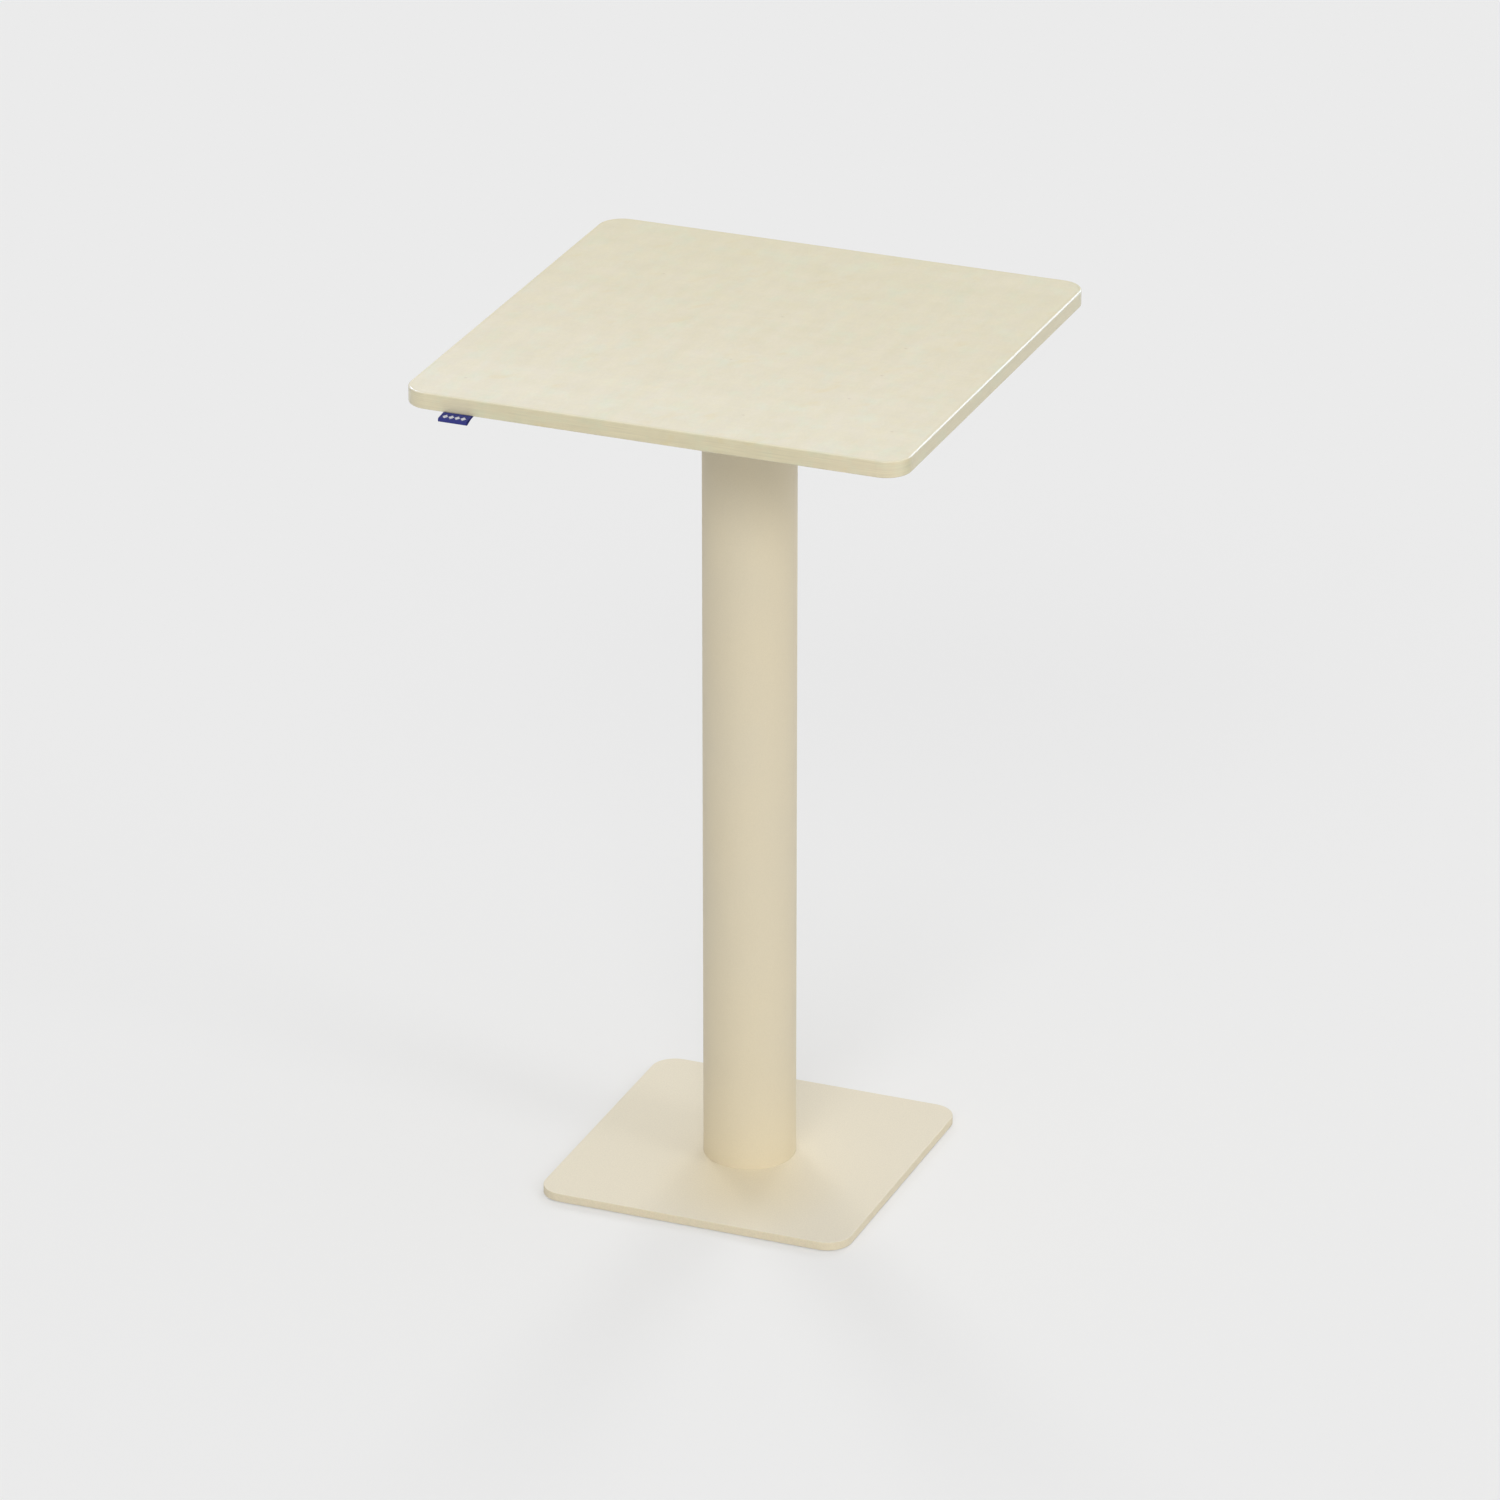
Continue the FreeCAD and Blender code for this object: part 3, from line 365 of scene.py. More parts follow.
def painted_side_shade(tree):
    """Painted shade on the lipping's upright sides: how much they are darkened along the front and round
    the corner to the right.
    """
    along = along_axis(tree, own_place(tree), "X")
    front = mixed(tree, spread(tree, along, *START_RAMP), FRONT_SHADE_START, FRONT_SIDE_SHADE)
    front = mixed(tree, spread(tree, along, *END_RAMP), front, FRONT_SHADE_END)
    return mixed(tree, spread(tree, along, *CORNER_RAMP), front, RIGHT_SIDE_SHADE)


def maple_lipping():
    """The board's edge: level streaks and painted shade on its sides, and the face's tone with its painted
    sheen on its rounded top.
    """
    finish, tree, shader = new_finish("pale maple lipping", roughness=0.45, values=LIPPING_LACQUER)
    tone = maple_tone(tree)
    streaks = clouds(tree, size=(0.06, 0.06, 0.0009), detail=3.0, roughness=0.6)
    side = times(tree, toned(tree, tone, streaks, darkest=0.93, palest=1.05), painted_side_shade(tree))
    upward = upward_share(tree, low=0.3, high=0.8)
    colour_of(tree, shader, mixed(tree, upward, side, with_painted_sheen(tree, tone)))
    gloss_of(tree, shader, streaks, smoothest=0.4, roughest=0.5)
    relief(tree, shader, streaks, depth=0.000006)
    return finish


def maple_backing():
    """The board's underside, unlacquered."""
    finish, tree, shader = new_finish("maple backing veneer", roughness=0.6)
    tone = maple_tone(tree)
    lines = clouds(tree, size=(0.07, 0.0018, 0.03), detail=4.0, roughness=0.65)
    colour_of(tree, shader, toned(tree, tone, lines, darkest=0.9, palest=1.0))
    gloss_of(tree, shader, lines, smoothest=0.55, roughest=0.7)
    relief(tree, shader, lines, depth=0.00004)
    return finish


# Powder coat, each grain with its darkest and palest factor and its depth

COAT_BEIGE = paint(223, 211, 183)
COAT_BEIGE_COOL = paint(221, 210, 184)
# Painted bounce light: a paler, warmer coat at the foot of the column, as lit from the base
COAT_BOUNCE_LIT = paint(230.6, 217.9, 188.3)
BOUNCE_LOW = 0.011
BOUNCE_HIGH = 0.14
COLUMN_GRAIN = (0.982, 1.017, 0.00006)
PLATE_GRAIN = (0.955, 1.04, 0.00012)
PLATE_GLOSS = {"Coat Weight": 0.35, "Coat Roughness": 0.45}
PLATE_SIDE = paint(227.5, 215, 185.5)
PLATE_SIDE_COOL = paint(225.5, 214, 186.5)
# Painted sheen on the base's upper face: paler than its sides, and paler on the left than on the right
FLAT_SHEEN_REACH = 0.15
SHEEN_FLAT_LEFT = paint(237.2, 228.8, 207.3)
SHEEN_FLAT_RIGHT = paint(233.5, 225.0, 203.9)
# Painted shade, warm with the column's reflection, on the base in front of the column, fading out from its
# middle
FAN_SHADE = (0.985, 0.95, 0.87, 1.0)
FAN_SHADE_MIDDLE = (0.036, -0.09, 0.011)
FAN_SHADE_CORE = 0.02
FAN_SHADE_SPAN = 0.118


def foot_bounce_share(tree):
    """One where the column meets the base, and falling to nought a little higher: where the painted bounce
    light lies.
    """
    height = along_axis(tree, own_place(tree), "Z")
    return spread(tree, height, BOUNCE_LOW, BOUNCE_HIGH, start=1.0, end=0.0)


def sandy_skin(tree, shader, tone, grain):
    """The fine sandy skin of a textured powder coat, over a given tone."""
    darkest, palest, depth = grain
    sand = clouds(tree, size=(0.0016, 0.0016, 0.0016), roughness=0.6)
    colour_of(tree, shader, toned(tree, tone, sand, darkest, palest))
    gloss_of(tree, shader, sand, smoothest=0.5, roughest=0.6)
    relief(tree, shader, sand, depth)


def coat_tone(tree, warm, cool):
    """A coat's slow drift between two tones."""
    drift = clouds(tree, size=(0.12, 0.12, 0.16))
    return mixed(tree, spread(tree, drift, low=0.35, high=0.65), warm, cool)


def column_coat():
    """Warm beige powder coat, painted paler and warmer at the foot of the column as light thrown up from
    the base.
    """
    finish, tree, shader = new_finish("warm beige powder coat", roughness=0.55)
    tone = coat_tone(tree, COAT_BEIGE, COAT_BEIGE_COOL)
    sandy_skin(tree, shader, mixed(tree, foot_bounce_share(tree), tone, COAT_BOUNCE_LIT), COLUMN_GRAIN)
    return finish


def plate_coat():
    """The same coat on the base, glossier, with a painted sheen: paler on its upper face, and more so on
    the left.
    """
    finish, tree, shader = new_finish("beige powder coat of the base", roughness=0.55, values=PLATE_GLOSS)
    side = coat_tone(tree, PLATE_SIDE, PLATE_SIDE_COOL)
    place = own_place(tree)
    along = along_axis(tree, place, "X")
    flat = mixed(tree, spread(tree, along, -FLAT_SHEEN_REACH, FLAT_SHEEN_REACH), SHEEN_FLAT_LEFT, SHEEN_FLAT_RIGHT)
    inputs = {0: place, 1: FAN_SHADE_MIDDLE}
    away = put(tree, "ShaderNodeVectorMath", inputs, operation="DISTANCE").outputs["Value"]
    # Painted shade and reflection of the column, darker and warmer near the patch's middle
    fan_shaded = times(tree, flat, FAN_SHADE)
    flat = mixed(tree, spread(tree, away, FAN_SHADE_CORE, FAN_SHADE_SPAN), fan_shaded, flat)
    upward = upward_share(tree, low=0.5, high=0.9)
    sandy_skin(tree, shader, mixed(tree, upward, side, flat), PLATE_GRAIN)
    return finish


# Ribbon and thread

WARP_WIDTH = 0.00045
WEFT_WIDTH = 0.0006
RIBBON_SHEEN = {"Sheen Weight": 0.12, "Sheen Roughness": 0.4, "Sheen Tint": paint(150, 155, 205)}
THREAD_SHEEN = {"Sheen Weight": 0.3}


def ribbon_places(tree):
    """Width and length along the ribbon, in metres, from its own map."""
    flat = put(tree, "ShaderNodeUVMap", uv_map="ribbon").outputs["UV"]
    parts = put(tree, "ShaderNodeSeparateXYZ", {"Vector": flat})
    return parts.outputs["X"], parts.outputs["Y"]


def woven_ribbon():
    """Navy ribbon in a close plain weave."""
    finish, tree, shader = new_finish("woven navy ribbon", roughness=0.8, values=RIBBON_SHEEN)
    across, along = ribbon_places(tree)
    warp = sums(tree, "SINE", sums(tree, "MULTIPLY", across, math.pi / WARP_WIDTH))
    weft = sums(tree, "SINE", sums(tree, "MULTIPLY", along, math.pi / WEFT_WIDTH))
    weave = spread(tree, sums(tree, "MULTIPLY", warp, weft), low=-1.0, high=1.0)
    yarn = clouds(tree, size=(0.002, 0.0005, 0.0005))
    tone = mixed(tree, weave, paint(33, 37, 103), paint(52, 58, 146))
    colour_of(tree, shader, toned(tree, tone, yarn, darkest=0.85, palest=1.15))
    relief(tree, shader, weave, depth=0.00012)
    return finish


def pale_thread():
    """Satin thread with its twist."""
    finish, tree, shader = new_finish("pale satin thread", roughness=0.6, values=THREAD_SHEEN)
    twist = clouds(tree, size=(0.0004, 0.0009, 0.0004), turn=0.7, detail=1.0)
    shade = spread(tree, twist, NOISE_LOW, NOISE_HIGH)
    colour_of(tree, shader, mixed(tree, shade, paint(205, 205, 218), paint(232, 232, 240)))
    relief(tree, shader, twist, depth=0.00006)
    return finish


# Finishes under the top and inside the column

def chip_board():
    """Bare wood chips, each of its own shade."""
    finish, tree, shader = new_finish("bare particle board", roughness=0.9)
    shade, away = cells(tree, size=(0.004, 0.003, 0.0012), channel="Red")
    colour_of(tree, shader, mixed(tree, shade, paint(188, 158, 112), paint(222, 197, 152)))
    relief(tree, shader, away, depth=0.0003)
    return finish


def ground_steel():
    """Satin ground tube, with fine lines round it."""
    finish, tree, shader = new_finish("satin ground steel", roughness=0.32, metal=1.0)
    lines = clouds(tree, size=(0.05, 0.05, 0.0003), detail=3.0, roughness=0.7)
    colour_of(tree, shader, mixed(tree, lines, paint(190, 190, 188), paint(222, 222, 219)))
    gloss_of(tree, shader, lines, smoothest=0.26, roughest=0.4)
    relief(tree, shader, lines, depth=0.00001)
    return finish


def lathe_places(tree):
    """Distance from the column's axis and height, so that a pattern makes turning marks."""
    parts = put(tree, "ShaderNodeSeparateXYZ", {"Vector": own_place(tree)}).outputs
    level = put(tree, "ShaderNodeCombineXYZ", {"X": parts["X"], "Y": parts["Y"]}).outputs[0]
    radius = put(tree, "ShaderNodeVectorMath", {0: level}, operation="LENGTH").outputs["Value"]
    return put(tree, "ShaderNodeCombineXYZ", {"X": radius, "Y": parts["Z"]}).outputs[0]


def turned_metal(name, dark, light, mark, gloss):
    """Metal with turning marks of the given width, and soft blotches."""
    finish, tree, shader = new_finish(name, roughness=gloss, metal=1.0)
    inputs = {"Vector": lathe_places(tree), "Scale": (1 / mark,) * 3}
    marks = put(tree, "ShaderNodeMapping", inputs).outputs["Vector"]
    lines = clouds(tree, size=None, place=marks)
    blotch = clouds(tree, size=(0.012, 0.012, 0.012), detail=3.0)
    tone = mixed(tree, lines, dark, light)
    colour_of(tree, shader, toned(tree, tone, blotch, darkest=0.9, palest=1.05))
    gloss_of(tree, shader, lines, smoothest=gloss - 0.06, roughest=gloss + 0.1)
    relief(tree, shader, lines, depth=0.000012)
    return finish


def plated_fasteners():
    """Bright zinc with its small crystals."""
    finish, tree, shader = new_finish("bright zinc plate", roughness=0.3, metal=1.0)
    shade, away = cells(tree, size=(0.0009, 0.0009, 0.0009), channel="Green")
    colour_of(tree, shader, mixed(tree, shade, paint(196, 201, 208), paint(226, 229, 233)))
    gloss_of(tree, shader, shade, smoothest=0.24, roughest=0.38)
    relief(tree, shader, away, depth=0.000008)
    return finish


def dark_skin(name, dark, light, grain, depth, gloss):
    """Black paint, moulded plastic or rubber: a fine pebbled skin with a little dust in patches."""
    finish, tree, shader = new_finish(name, roughness=gloss)
    pebbles = clouds(tree, size=(grain, grain, grain), roughness=0.55)
    dust = clouds(tree, size=(0.03, 0.03, 0.03), detail=3.0)
    tone = mixed(tree, spread(tree, pebbles, low=0.35, high=0.65), dark, light)
    colour_of(tree, shader, toned(tree, tone, dust, darkest=0.85, palest=1.2))
    gloss_of(tree, shader, pebbles, smoothest=gloss - 0.08, roughest=gloss + 0.08)
    relief(tree, shader, pebbles, depth)
    return finish


FINISHES = {
    "face_veneer": maple_veneer(),
    "edge_lipping": maple_lipping(),
    "backing_veneer": maple_backing(),
    "powder_coat": column_coat(),
    "board_core": chip_board(),
    "satin_steel": ground_steel(),
    "raw_steel": turned_metal(
        "turned steel", paint(150, 150, 150), paint(196, 196, 195), mark=0.0004, gloss=0.36),
    "hard_chrome": turned_metal(
        "polished chrome", paint(214, 215, 217), paint(232, 232, 234), mark=0.002, gloss=0.12),
    "brass_inserts": turned_metal(
        "turned brass", paint(196, 160, 84), paint(226, 194, 118), mark=0.0004, gloss=0.3),
    "cast_aluminium": turned_metal(
        "turned aluminium", paint(196, 197, 199), paint(224, 224, 226), mark=0.0005, gloss=0.34),
    "zinc_fasteners": plated_fasteners(),
    "painted_steel": dark_skin(
        "black textured paint", paint(30, 30, 31), paint(46, 46, 47),
        grain=0.0012, depth=0.00012, gloss=0.55),
    "black_cylinder": dark_skin(
        "black gloss paint", paint(22, 22, 23), paint(32, 32, 33),
        grain=0.003, depth=0.00003, gloss=0.3),
    "guide_plastic": dark_skin(
        "black acetal", paint(28, 28, 29), paint(40, 40, 41),
        grain=0.0009, depth=0.00003, gloss=0.45),
    "grip_plastic": dark_skin(
        "black nylon", paint(26, 26, 27), paint(42, 42, 43),
        grain=0.0008, depth=0.00006, gloss=0.55),
    "rubber": dark_skin(
        "matt rubber", paint(26, 26, 26), paint(40, 40, 39),
        grain=0.0006, depth=0.00005, gloss=0.85),
    "tag_ribbon": woven_ribbon(),
}

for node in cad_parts.values():
    node.data.materials[0] = FINISHES[node.data.materials[0].name]
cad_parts["base_plate"].data.materials[0] = plate_coat()


# Ribbon tag

tag_low, tag_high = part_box("label_tag")
board_front = -cad_high.x


def upper_rise(depth):
    """How far the upper layer stands above the board's underside, at a depth in front of the board."""
    share = min(max((depth - BULGE_START) / (BULGE_END - BULGE_START), 0.0), 1.0)
    fall = RIBBON_SLOPE * max(depth - BULGE_END, 0.0)
    return RIBBON_BULGE * share * share * (3 - 2 * share) - fall


def ribbon_line():
    """The middle of the ribbon seen from its end, as places along Y and Z from tail to tail."""
    half = RIBBON_THICKNESS / 2
    upper = tag_high.z - half
    lower = tag_low.z + half
    hug = upper - RIBBON_THICKNESS
    reach = (upper - lower) / 2
    fold_y = tag_low.y + half + reach
    fold_top = upper + upper_rise(board_front - fold_y)
    middle = (fold_top + lower) / 2
    line = [(tag_high.y, upper)]
    for step in range(FOLD_STEPS + 1):
        depth = BULGE_START + (board_front - fold_y - BULGE_START) * step / (FOLD_STEPS + 1)
        line.append((board_front - depth, upper + upper_rise(depth)))
    for step in range(FOLD_STEPS + 1):
        angle = math.pi * step / FOLD_STEPS
        swing = abs(math.sin(angle)) ** (2 / FOLD_SQUARENESS)
        lift = math.copysign(abs(math.cos(angle)) ** (2 / FOLD_SQUARENESS), math.cos(angle))
        line.append((fold_y - reach * swing, middle + (middle - lower) * lift))
    for step in range(1, FOLD_STEPS + 1):
        share = step / FOLD_STEPS
        rise = 1 - (1 - share) ** LOWER_LAYER_HUG
        line.append((fold_y + (board_front - fold_y) * share, lower + (hug - lower) * rise))
    line.append((tag_high.y, hug))
    return line


def evened(line, step):
    """The same line with its points a steady step apart, and its length."""
    lengths = [0.0]
    for first, second in zip(line, line[1:]):
        lengths.append(lengths[-1] + math.dist(first, second))
    count = round(lengths[-1] / step)
    points = []
    span = 0
    for index in range(count + 1):
        goal = lengths[-1] * index / count
        while span < len(line) - 2 and lengths[span + 1] < goal:
            span += 1
        share = (goal - lengths[span]) / (lengths[span + 1] - lengths[span])
        points.append([a + (b - a) * share for a, b in zip(line[span], line[span + 1])])
    return points, lengths[-1]


def line_normals(line):
    """The way out of the cloth at each point of a line."""
    normals = []
    for index in range(len(line)):
        before = line[max(index - 1, 0)]
        after = line[min(index + 1, len(line) - 1)]
        along_y, along_z = after[0] - before[0], after[1] - before[1]
        size = math.hypot(along_y, along_z)
        normals.append((along_z / size, -along_y / size))
    return normals


def ribbon_points(line, length):
    """Rings of points round the ribbon, thicker at its selvedges, and where they lie on the flat cloth."""
    width = tag_high.x - tag_low.x
    loop = [(column, 1) for column in range(RIBBON_COLUMNS + 1)]
    loop += [(column, -1) for column in range(RIBBON_COLUMNS, -1, -1)]
    places, flats = [], []
    for row, ((y, z), (out_y, out_z)) in enumerate(zip(line, line_normals(line))):
        run = length * row / (len(line) - 1)
        wave = WEFT_WAVE * math.sin(2 * math.pi * run / WEFT_PITCH)
        for column, side in loop:
            across = width * column / RIBBON_COLUMNS
            inset = min(across, width - across)
            near_edge = math.exp(-(inset / SELVEDGE_WIDTH) ** 2)
            bulge = 1 + SELVEDGE_BULGE * (near_edge - 1)
            if inset == 0:
                bulge *= SELVEDGE_RIM
            shift = wave * near_edge * (1 if across > width / 2 else -1)
            offset = side * bulge * RIBBON_THICKNESS / 2
            edge = min(max(tag_low.x + across + shift, tag_low.x), tag_high.x)
            places.append((edge, y + out_y * offset, z + out_z * offset))
            flats.append((across, run))
    return places, flats


def ribbon_faces(rows):
    """Faces between the rings, and those that close both ends."""
    ring = 2 * (RIBBON_COLUMNS + 1)
    faces = []
    for row in range(rows - 1):
        for step in range(ring):
            following = (step + 1) % ring
            faces.append((row * ring + step, row * ring + following,
                          (row + 1) * ring + following, (row + 1) * ring + step))
    last = (rows - 1) * ring
    for column in range(RIBBON_COLUMNS):
        facing = ring - 1 - column
        faces.append((column + 1, column, facing, facing - 1))
        faces.append((last + column, last + column + 1, last + facing - 1, last + facing))
    return faces


def ribbon_mesh(name):
    """The folded ribbon as a thin closed solid, with a map of the flat cloth."""
    line, length = evened(ribbon_line(), RIBBON_STEP)
    places, flats = ribbon_points(line, length)
    mesh = bpy.data.meshes.new(name)
    mesh.from_pydata(places, [], ribbon_faces(len(line)))
    flat_map = mesh.uv_layers.new(name="ribbon")
    for corner in mesh.loops:
        flat_map.data[corner.index].uv = flats[corner.vertex_index]
    for face in mesh.polygons:
        face.use_smooth = True
    mesh.materials.append(FINISHES["tag_ribbon"])
    mesh.validate()
    return mesh


def add_piece(name, mesh):
    """Puts a mesh in the scene as a piece of its own."""
    piece = bpy.data.objects.new(name, mesh)
    bpy.context.scene.collection.objects.link(piece)
    return piece


tag = add_piece("ribbon_tag", ribbon_mesh("ribbon_tag"))


# Node trees for what repeats or follows a path

def new_tree(name, inputs):
    """An empty tree with named inputs, and what they give."""
    tree = bpy.data.node_groups.new(name, "GeometryNodeTree")
    tree.interface.new_socket("Geometry", in_out="INPUT", socket_type="NodeSocketGeometry")
    for label, kind in inputs.items():
        tree.interface.new_socket(label, in_out="INPUT", socket_type="NodeSocket" + kind)
    tree.interface.new_socket("Geometry", in_out="OUTPUT", socket_type="NodeSocketGeometry")
    return tree, put(tree, "NodeGroupInput").outputs


def close_tree(tree, shape, finish):
    """Ends a tree: smooth, real faces in one finish."""
    smooth = put(tree, "GeometryNodeSetShadeSmooth", {"Geometry": shape}).outputs[0]
    real = put(tree, "GeometryNodeRealizeInstances", {"Geometry": smooth}).outputs[0]
    coated = put(tree, "GeometryNodeSetMaterial", {"Geometry": real, "Material": finish}).outputs[0]
    put(tree, "NodeGroupOutput", {"Geometry": coated})
    return tree


def grown(name, tree, values, start=None):
    """A plain mesh piece made by a tree from its named values."""
    piece = add_piece(name, start or bpy.data.meshes.new(name))
    modifier = piece.modifiers.new("tree", "NODES")
    modifier.node_group = tree
    for item in tree.interface.items_tree:
        if item.in_out == "INPUT" and item.name in values:
            modifier[item.identifier] = values[item.name]
    graph = bpy.context.evaluated_depsgraph_get()
    mesh = bpy.data.meshes.new_from_object(piece.evaluated_get(graph))
    piece.modifiers.remove(modifier)
    piece.data = mesh
    mesh.name = name
    return piece


def step_along_x(tree, step):
    """A vector along X."""
    return put(tree, "ShaderNodeCombineXYZ", {"X": step}).outputs[0]


def row_of_points(tree, count, first, step):
    """Points in a row from the first, a step apart."""
    inputs = {"Count": count, "Start Location": first, "Offset": step}
    return put(tree, "GeometryNodeMeshLine", inputs).outputs[0]


def ball(tree, segments, rings):
    """A ball of radius one."""
    inputs = {"Segments": segments, "Rings": rings, "Radius": 1.0}
    return put(tree, "GeometryNodeMeshUVSphere", inputs).outputs[0]


def weld_tree():
    """A bead along every path, swelling at each ripple."""
    inputs = {"Bead Radius": "Float", "Ripple Pitch": "Float", "Finish": "Material"}
    tree, given = new_tree("weld beads", inputs)
    path = put(tree, "GeometryNodeMeshToCurve", {"Mesh": given["Geometry"]}).outputs[0]
    inputs = {"Curve": path, "Length": sums(tree, "DIVIDE", given["Ripple Pitch"], STEPS_PER_RIPPLE)}
    path = put(tree, "GeometryNodeResampleCurve", inputs, mode="LENGTH").outputs[0]
    length = put(tree, "GeometryNodeSplineParameter").outputs["Length"]
    ripples = sums(tree, "FRACT", sums(tree, "DIVIDE", length, given["Ripple Pitch"]))
    ripples = sums(tree, "MULTIPLY", ripples, WELD_RIPPLE_SWELL)
    inputs = {"Scale": WELD_WOBBLE_SCALE, "Detail": 1.0}
    wobble = put(tree, "ShaderNodeTexNoise", inputs).outputs["Fac"]
    wobble = sums(tree, "MULTIPLY", wobble, WELD_WOBBLE_SWELL)
    swell = sums(tree, "ADD", sums(tree, "ADD", ripples, wobble), WELD_THINNEST)
    width = sums(tree, "MULTIPLY", given["Bead Radius"], swell)
    inputs = {"Resolution": WELD_SIDES, "Radius": 1.0}
    round_bar = put(tree, "GeometryNodeCurvePrimitiveCircle", inputs).outputs[0]
    inputs = {"Curve": path, "Profile Curve": round_bar, "Scale": width, "Fill Caps": True}
    bead = put(tree, "GeometryNodeCurveToMesh", inputs).outputs[0]
    return close_tree(tree, bead, given["Finish"])


def weld_paths():
    """Lines in the corners of inner tube, gussets and mounting plate, where the beads run."""
    tube_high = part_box("inner_tube")[1]
    radius = tube_high.x + WELD_SINK
    level = tube_high.z - WELD_SINK
    arc_turn = 360 / len(GUSSET_TURNS) - 2 * WELD_GAP_TURN
    paths = []
    for turn in GUSSET_TURNS:
        arc = []
        for step in range(WELD_ARC_STEPS + 1):
            angle = math.radians(turn + WELD_GAP_TURN + arc_turn * step / WELD_ARC_STEPS)
            arc.append((radius * math.cos(angle), radius * math.sin(angle), level))
        paths.append(arc)
        way = Vector((math.cos(math.radians(turn)), math.sin(math.radians(turn)), 0))
        sideways = Vector((-way.y, way.x, 0)) * (GUSSET_HALF + WELD_SINK)
        for side in (-1, 1):
            start = way * (radius + WELD_RADIUS) + sideways * side
            end = start + way * GUSSET_WELD_LENGTH
            paths.append([(*start.xy, level), (*end.xy, level)])
            foot = way * radius + sideways * side
            paths.append([(*foot.xy, level - WELD_RADIUS), (*foot.xy, level - GUSSET_WELD_DROP)])
    mesh = bpy.data.meshes.new("weld paths")
    places, edges = [], []
    for path in paths:
        edges += [(len(places) + step, len(places) + step + 1) for step in range(len(path) - 1)]
        places += path
    mesh.from_pydata(places, edges, [])
    return mesh


def lozenge_tree():
    """A row of lozenges in satin stitch: short threads side by side, longest in the middle."""
    inputs = {
        "Lozenges": "Int", "Spacing": "Vector", "First": "Vector", "Lean": "Vector", "Threads": "Int",
        "Thread Radius": "Float", "Half Length": "Float", "Finish": "Material",
    }
    tree, given = new_tree("tag lozenges", inputs)
    radius = given["Thread Radius"]
    last = sums(tree, "SUBTRACT", given["Threads"], 1.0)
    begin = sums(tree, "MULTIPLY", sums(tree, "MULTIPLY", last, radius), -THREAD_PITCH / 2)
    pitch = sums(tree, "MULTIPLY", radius, THREAD_PITCH)
    row = row_of_points(tree, given["Threads"], step_along_x(tree, begin), step_along_x(tree, pitch))
    index = put(tree, "GeometryNodeInputIndex").outputs[0]
    place = sums(tree, "SUBTRACT", sums(tree, "MULTIPLY", sums(tree, "DIVIDE", index, last), 2.0), 1.0)
    share = sums(tree, "SUBTRACT", LOZENGE_TIP, sums(tree, "ABSOLUTE", place))
    long_way = sums(tree, "MULTIPLY", given["Half Length"], share)
    flat = sums(tree, "MULTIPLY", radius, THREAD_FLATNESS)
    size = put(tree, "ShaderNodeCombineXYZ", {"X": radius, "Y": long_way, "Z": flat}).outputs[0]
    thread = ball(tree, segments=8, rings=6)
    inputs = {"Points": row, "Instance": thread, "Rotation": given["Lean"], "Scale": size}
    lozenge = put(tree, "GeometryNodeInstanceOnPoints", inputs).outputs[0]
    centres = row_of_points(tree, given["Lozenges"], given["First"], given["Spacing"])
    inputs = {"Points": centres, "Instance": lozenge}
    motif = put(tree, "GeometryNodeInstanceOnPoints", inputs).outputs[0]
    return close_tree(tree, motif, given["Finish"])


def rib_tree():
    """Finger ribs across the grip, laid along the sloping arm."""
    inputs = {
        "Ribs": "Int", "Pitch": "Float", "First": "Vector", "Rib Size": "Vector",
        "Bend": "Vector", "Slope": "Float", "Finish": "Material",
    }
    tree, given = new_tree("grip ribs", inputs)
    row = row_of_points(tree, given["Ribs"], given["First"], step_along_x(tree, given["Pitch"]))
    bar = ball(tree, segments=24, rings=12)
    inputs = {"Points": row, "Instance": bar, "Scale": given["Rib Size"]}
    ribs = put(tree, "GeometryNodeInstanceOnPoints", inputs).outputs[0]
    turn = put(tree, "ShaderNodeCombineXYZ", {"Y": given["Slope"]}).outputs[0]
    inputs = {"Geometry": ribs, "Translation": given["Bend"], "Rotation": turn}
    laid = put(tree, "GeometryNodeTransform", inputs).outputs[0]
    return close_tree(tree, laid, given["Finish"])


welds = grown("weld_beads", weld_tree(), {
    "Bead Radius": WELD_RADIUS,
    "Ripple Pitch": WELD_RIPPLE,
    "Finish": FINISHES["painted_steel"],
}, weld_paths())

first_lozenge = (
    (tag_low.x + tag_high.x) / 2 - (LOZENGE_COUNT - 1) / 2 * LOZENGE_SPACING,
    board_front - LOZENGE_DEPTH,
    tag_high.z + upper_rise(LOZENGE_DEPTH),
)
lozenges = grown("tag_lozenges", lozenge_tree(), {
    "Lozenges": LOZENGE_COUNT,
    "Spacing": (LOZENGE_SPACING, 0.0, 0.0),
    "First": first_lozenge,
    "Lean": (math.atan(RIBBON_SLOPE), 0.0, 0.0),
    "Threads": THREAD_COUNT,
    "Thread Radius": THREAD_RADIUS,
    "Half Length": LOZENGE_HALF_LENGTH,
    "Finish": pale_thread(),
})

ribs = grown("grip_ribs", rib_tree(), {
    "Ribs": RIB_COUNT,
    "Pitch": RIB_PITCH,
    "First": (GRIP_START + RIB_INSET, 0.0, GRIP_UNDERSIDE),
    "Rib Size": RIB_SIZE,
    "Bend": LEVER_BEND,
    "Slope": LEVER_SLOPE,
    "Finish": FINISHES["grip_plastic"],
})

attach(tag, "lift")
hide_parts("label_tag")
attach(lozenges, "lift")
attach(welds, "lift")
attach(ribs, "lever")


# Floor, light and camera

backdrop = paint(BACKDROP_GREY, BACKDROP_GREY, BACKDROP_GREY)
white = paint(255, 255, 255)


def seen_directly(tree):
    """One for rays from the camera or off a glossy or clear surface, and nought for the rest."""
    path = put(tree, "ShaderNodeLightPath").outputs
    seen = sums(tree, "MAXIMUM", path["Is Camera Ray"], path["Is Glossy Ray"])
    return sums(tree, "MAXIMUM", seen, path["Is Transmission Ray"])


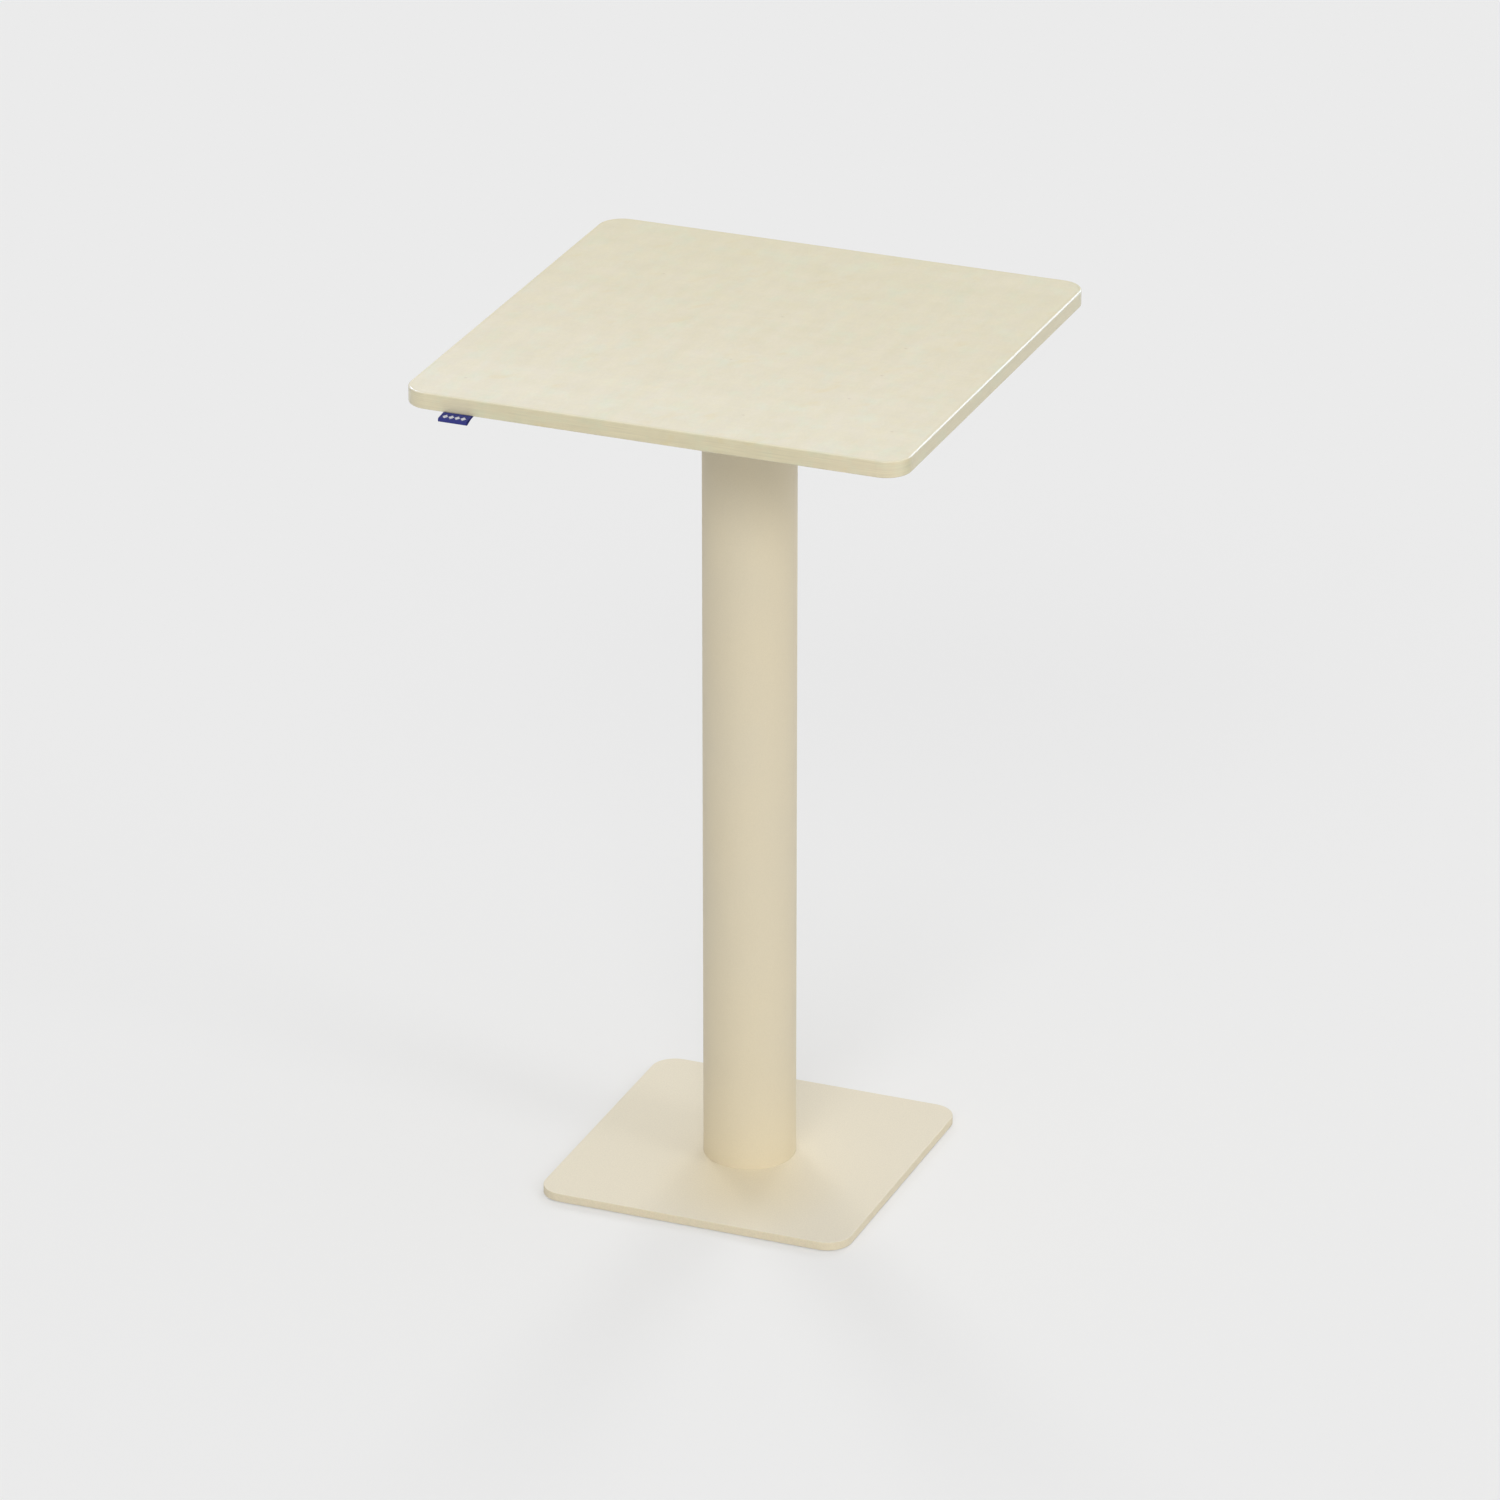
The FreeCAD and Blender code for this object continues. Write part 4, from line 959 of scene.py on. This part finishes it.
def shadow_hold(tree):
    """The share of the floor's light that shadows can take away, most near the base."""
    away = put(tree, "ShaderNodeVectorMath", {0: own_place(tree)}, operation="LENGTH").outputs["Value"]
    near = spread(tree, away, NEAR_REACH, MIDDLE_REACH, SHADOW_NEAR, SHADOW_MIDDLE)
    far = spread(tree, away, MIDDLE_REACH, FAR_REACH, 0.0, SHADOW_MIDDLE - SHADOW_FAR)
    return sums(tree, "SUBTRACT", near, far)


def floor_finish():
    """Pale floor that holds a faint shadow and can be looked through from below."""
    finish = bpy.data.materials.new("pale studio floor")
    finish.use_nodes = True
    tree = finish.node_tree
    tree.nodes.clear()
    matt = put(tree, "ShaderNodeBsdfDiffuse", {"Color": backdrop}).outputs[0]
    hold = shadow_hold(tree)
    rest = sums(tree, "SUBTRACT", 1.0, hold)
    fill = sums(tree, "SUBTRACT", 1.0, sums(tree, "MULTIPLY", hold, LIGHT_LEVEL))
    inputs = {"Color": backdrop, "Strength": sums(tree, "DIVIDE", fill, rest)}
    glow = put(tree, "ShaderNodeEmission", inputs).outputs[0]
    share = sums(tree, "MULTIPLY", seen_directly(tree), rest)
    lit = put(tree, "ShaderNodeMixShader", {0: share, 1: matt, 2: glow}).outputs[0]
    below = put(tree, "ShaderNodeNewGeometry").outputs["Backfacing"]
    clear = put(tree, "ShaderNodeBsdfTransparent").outputs[0]
    whole = put(tree, "ShaderNodeMixShader", {0: below, 1: lit, 2: clear}).outputs[0]
    put(tree, "ShaderNodeOutputMaterial", {"Surface": whole})
    return finish


def studio_floor():
    """A wide level sheet just under the table."""
    mesh = bpy.data.meshes.new("studio_floor")
    corners = [(-1, -1), (1, -1), (1, 1), (-1, 1)]
    places = [(x * FLOOR_HALF, y * FLOOR_HALF, FLOOR_LEVEL) for x, y in corners]
    mesh.from_pydata(places, [], [(0, 1, 2, 3)])
    mesh.materials.append(floor_finish())
    add_piece("studio_floor", mesh)


def studio_dome():
    """White light from all round, stronger from the right, that is seen as an even grey."""
    world = bpy.data.worlds.new("studio dome")
    bpy.context.scene.world = world
    world.use_nodes = True
    tree = world.node_tree
    tree.nodes.clear()
    ray = put(tree, "ShaderNodeTexCoord").outputs["Generated"]
    rightward = along_axis(tree, ray, "X")
    level = sums(tree, "ADD", sums(tree, "MULTIPLY", rightward, DOME_LEAN), DOME_LEVEL)
    light = put(tree, "ShaderNodeBackground", {"Color": white, "Strength": level}).outputs[0]
    shown = put(tree, "ShaderNodeBackground", {"Color": backdrop, "Strength": 1.0}).outputs[0]
    both = put(tree, "ShaderNodeMixShader", {0: seen_directly(tree), 1: light, 2: shown}).outputs[0]
    put(tree, "ShaderNodeOutputWorld", {"Surface": both})


def outward(turn, rise):
    """The way out from the table, turned from the front towards +X and raised from the level."""
    level = math.cos(rise)
    return Vector((math.sin(turn) * level, -math.cos(turn) * level, math.sin(rise)))


def add_lamp(lamp, way):
    """Puts a lamp in the scene so that it shines back along a way out from the table."""
    holder = bpy.data.objects.new(lamp.name, lamp)
    bpy.context.scene.collection.objects.link(holder)
    holder.rotation_mode = "QUATERNION"
    holder.rotation_quaternion = way.to_track_quat("Z", "Y")
    return holder


def softbox(name, turn, share):
    """A wide soft lamp, turned from the front towards +X, that gives a share of the level light."""
    lamp = bpy.data.lights.new(name, "SUN")
    lamp.angle = SOFTBOX_WIDTH
    lamp.energy = math.pi * share / math.sin(SOFTBOX_RISE)
    return add_lamp(lamp, outward(math.radians(turn), SOFTBOX_RISE))


def shine_panel(name, place, turn_and_rise, span, power, tint):
    """A round cool panel behind the board, seen only as the shine on its rounded edge at a place."""
    lamp = bpy.data.lights.new(name, "AREA")
    lamp.shape = "DISK"
    lamp.size = span
    lamp.energy = power
    lamp.color = tint
    way = outward(*turn_and_rise)
    holder = add_lamp(lamp, way)
    holder.location = Vector(place) + way * PANEL_AWAY
    holder.visible_diffuse = False
    holder.visible_camera = False


def studio_camera():
    """The photo's camera."""
    camera = bpy.data.cameras.new("camera")
    camera.sensor_width = SENSOR_WIDTH
    camera.lens = CAMERA_LENS
    camera.clip_end = CAMERA_FAR
    holder = bpy.data.objects.new("camera", camera)
    scene = bpy.context.scene
    scene.collection.objects.link(holder)
    back = outward(CAMERA_TURN, CAMERA_RISE)
    holder.location = CAMERA_AIM + back * CAMERA_DISTANCE
    holder.rotation_mode = "QUATERNION"
    holder.rotation_quaternion = (-back).to_track_quat("-Z", "Y")
    scene.camera = holder


studio_floor()
studio_dome()
softbox("right softbox", *RIGHT_SOFTBOX)
for front_turn in FRONT_SOFTBOX_TURNS:
    softbox("front softbox", front_turn, FRONT_SOFTBOX_SHARE)
softbox("back softbox", *BACK_SOFTBOX).visible_glossy = False
softbox("back left softbox", *BACK_LEFT_SOFTBOX).visible_glossy = False
shine_panel("right edge panel", (cad_high.x, 0.0, cad_high.z), EDGE_PANEL_WAY,
            EDGE_PANEL_SPAN, EDGE_PANEL_POWER, EDGE_PANEL_TINT)
shine_panel("front left corner panel", (cad_low.x, board_front, cad_high.z), CORNER_PANEL_WAY,
            CORNER_PANEL_SPAN, CORNER_PANEL_POWER, CORNER_PANEL_TINT)
studio_camera()
bpy.context.scene.view_settings.view_transform = "Standard"
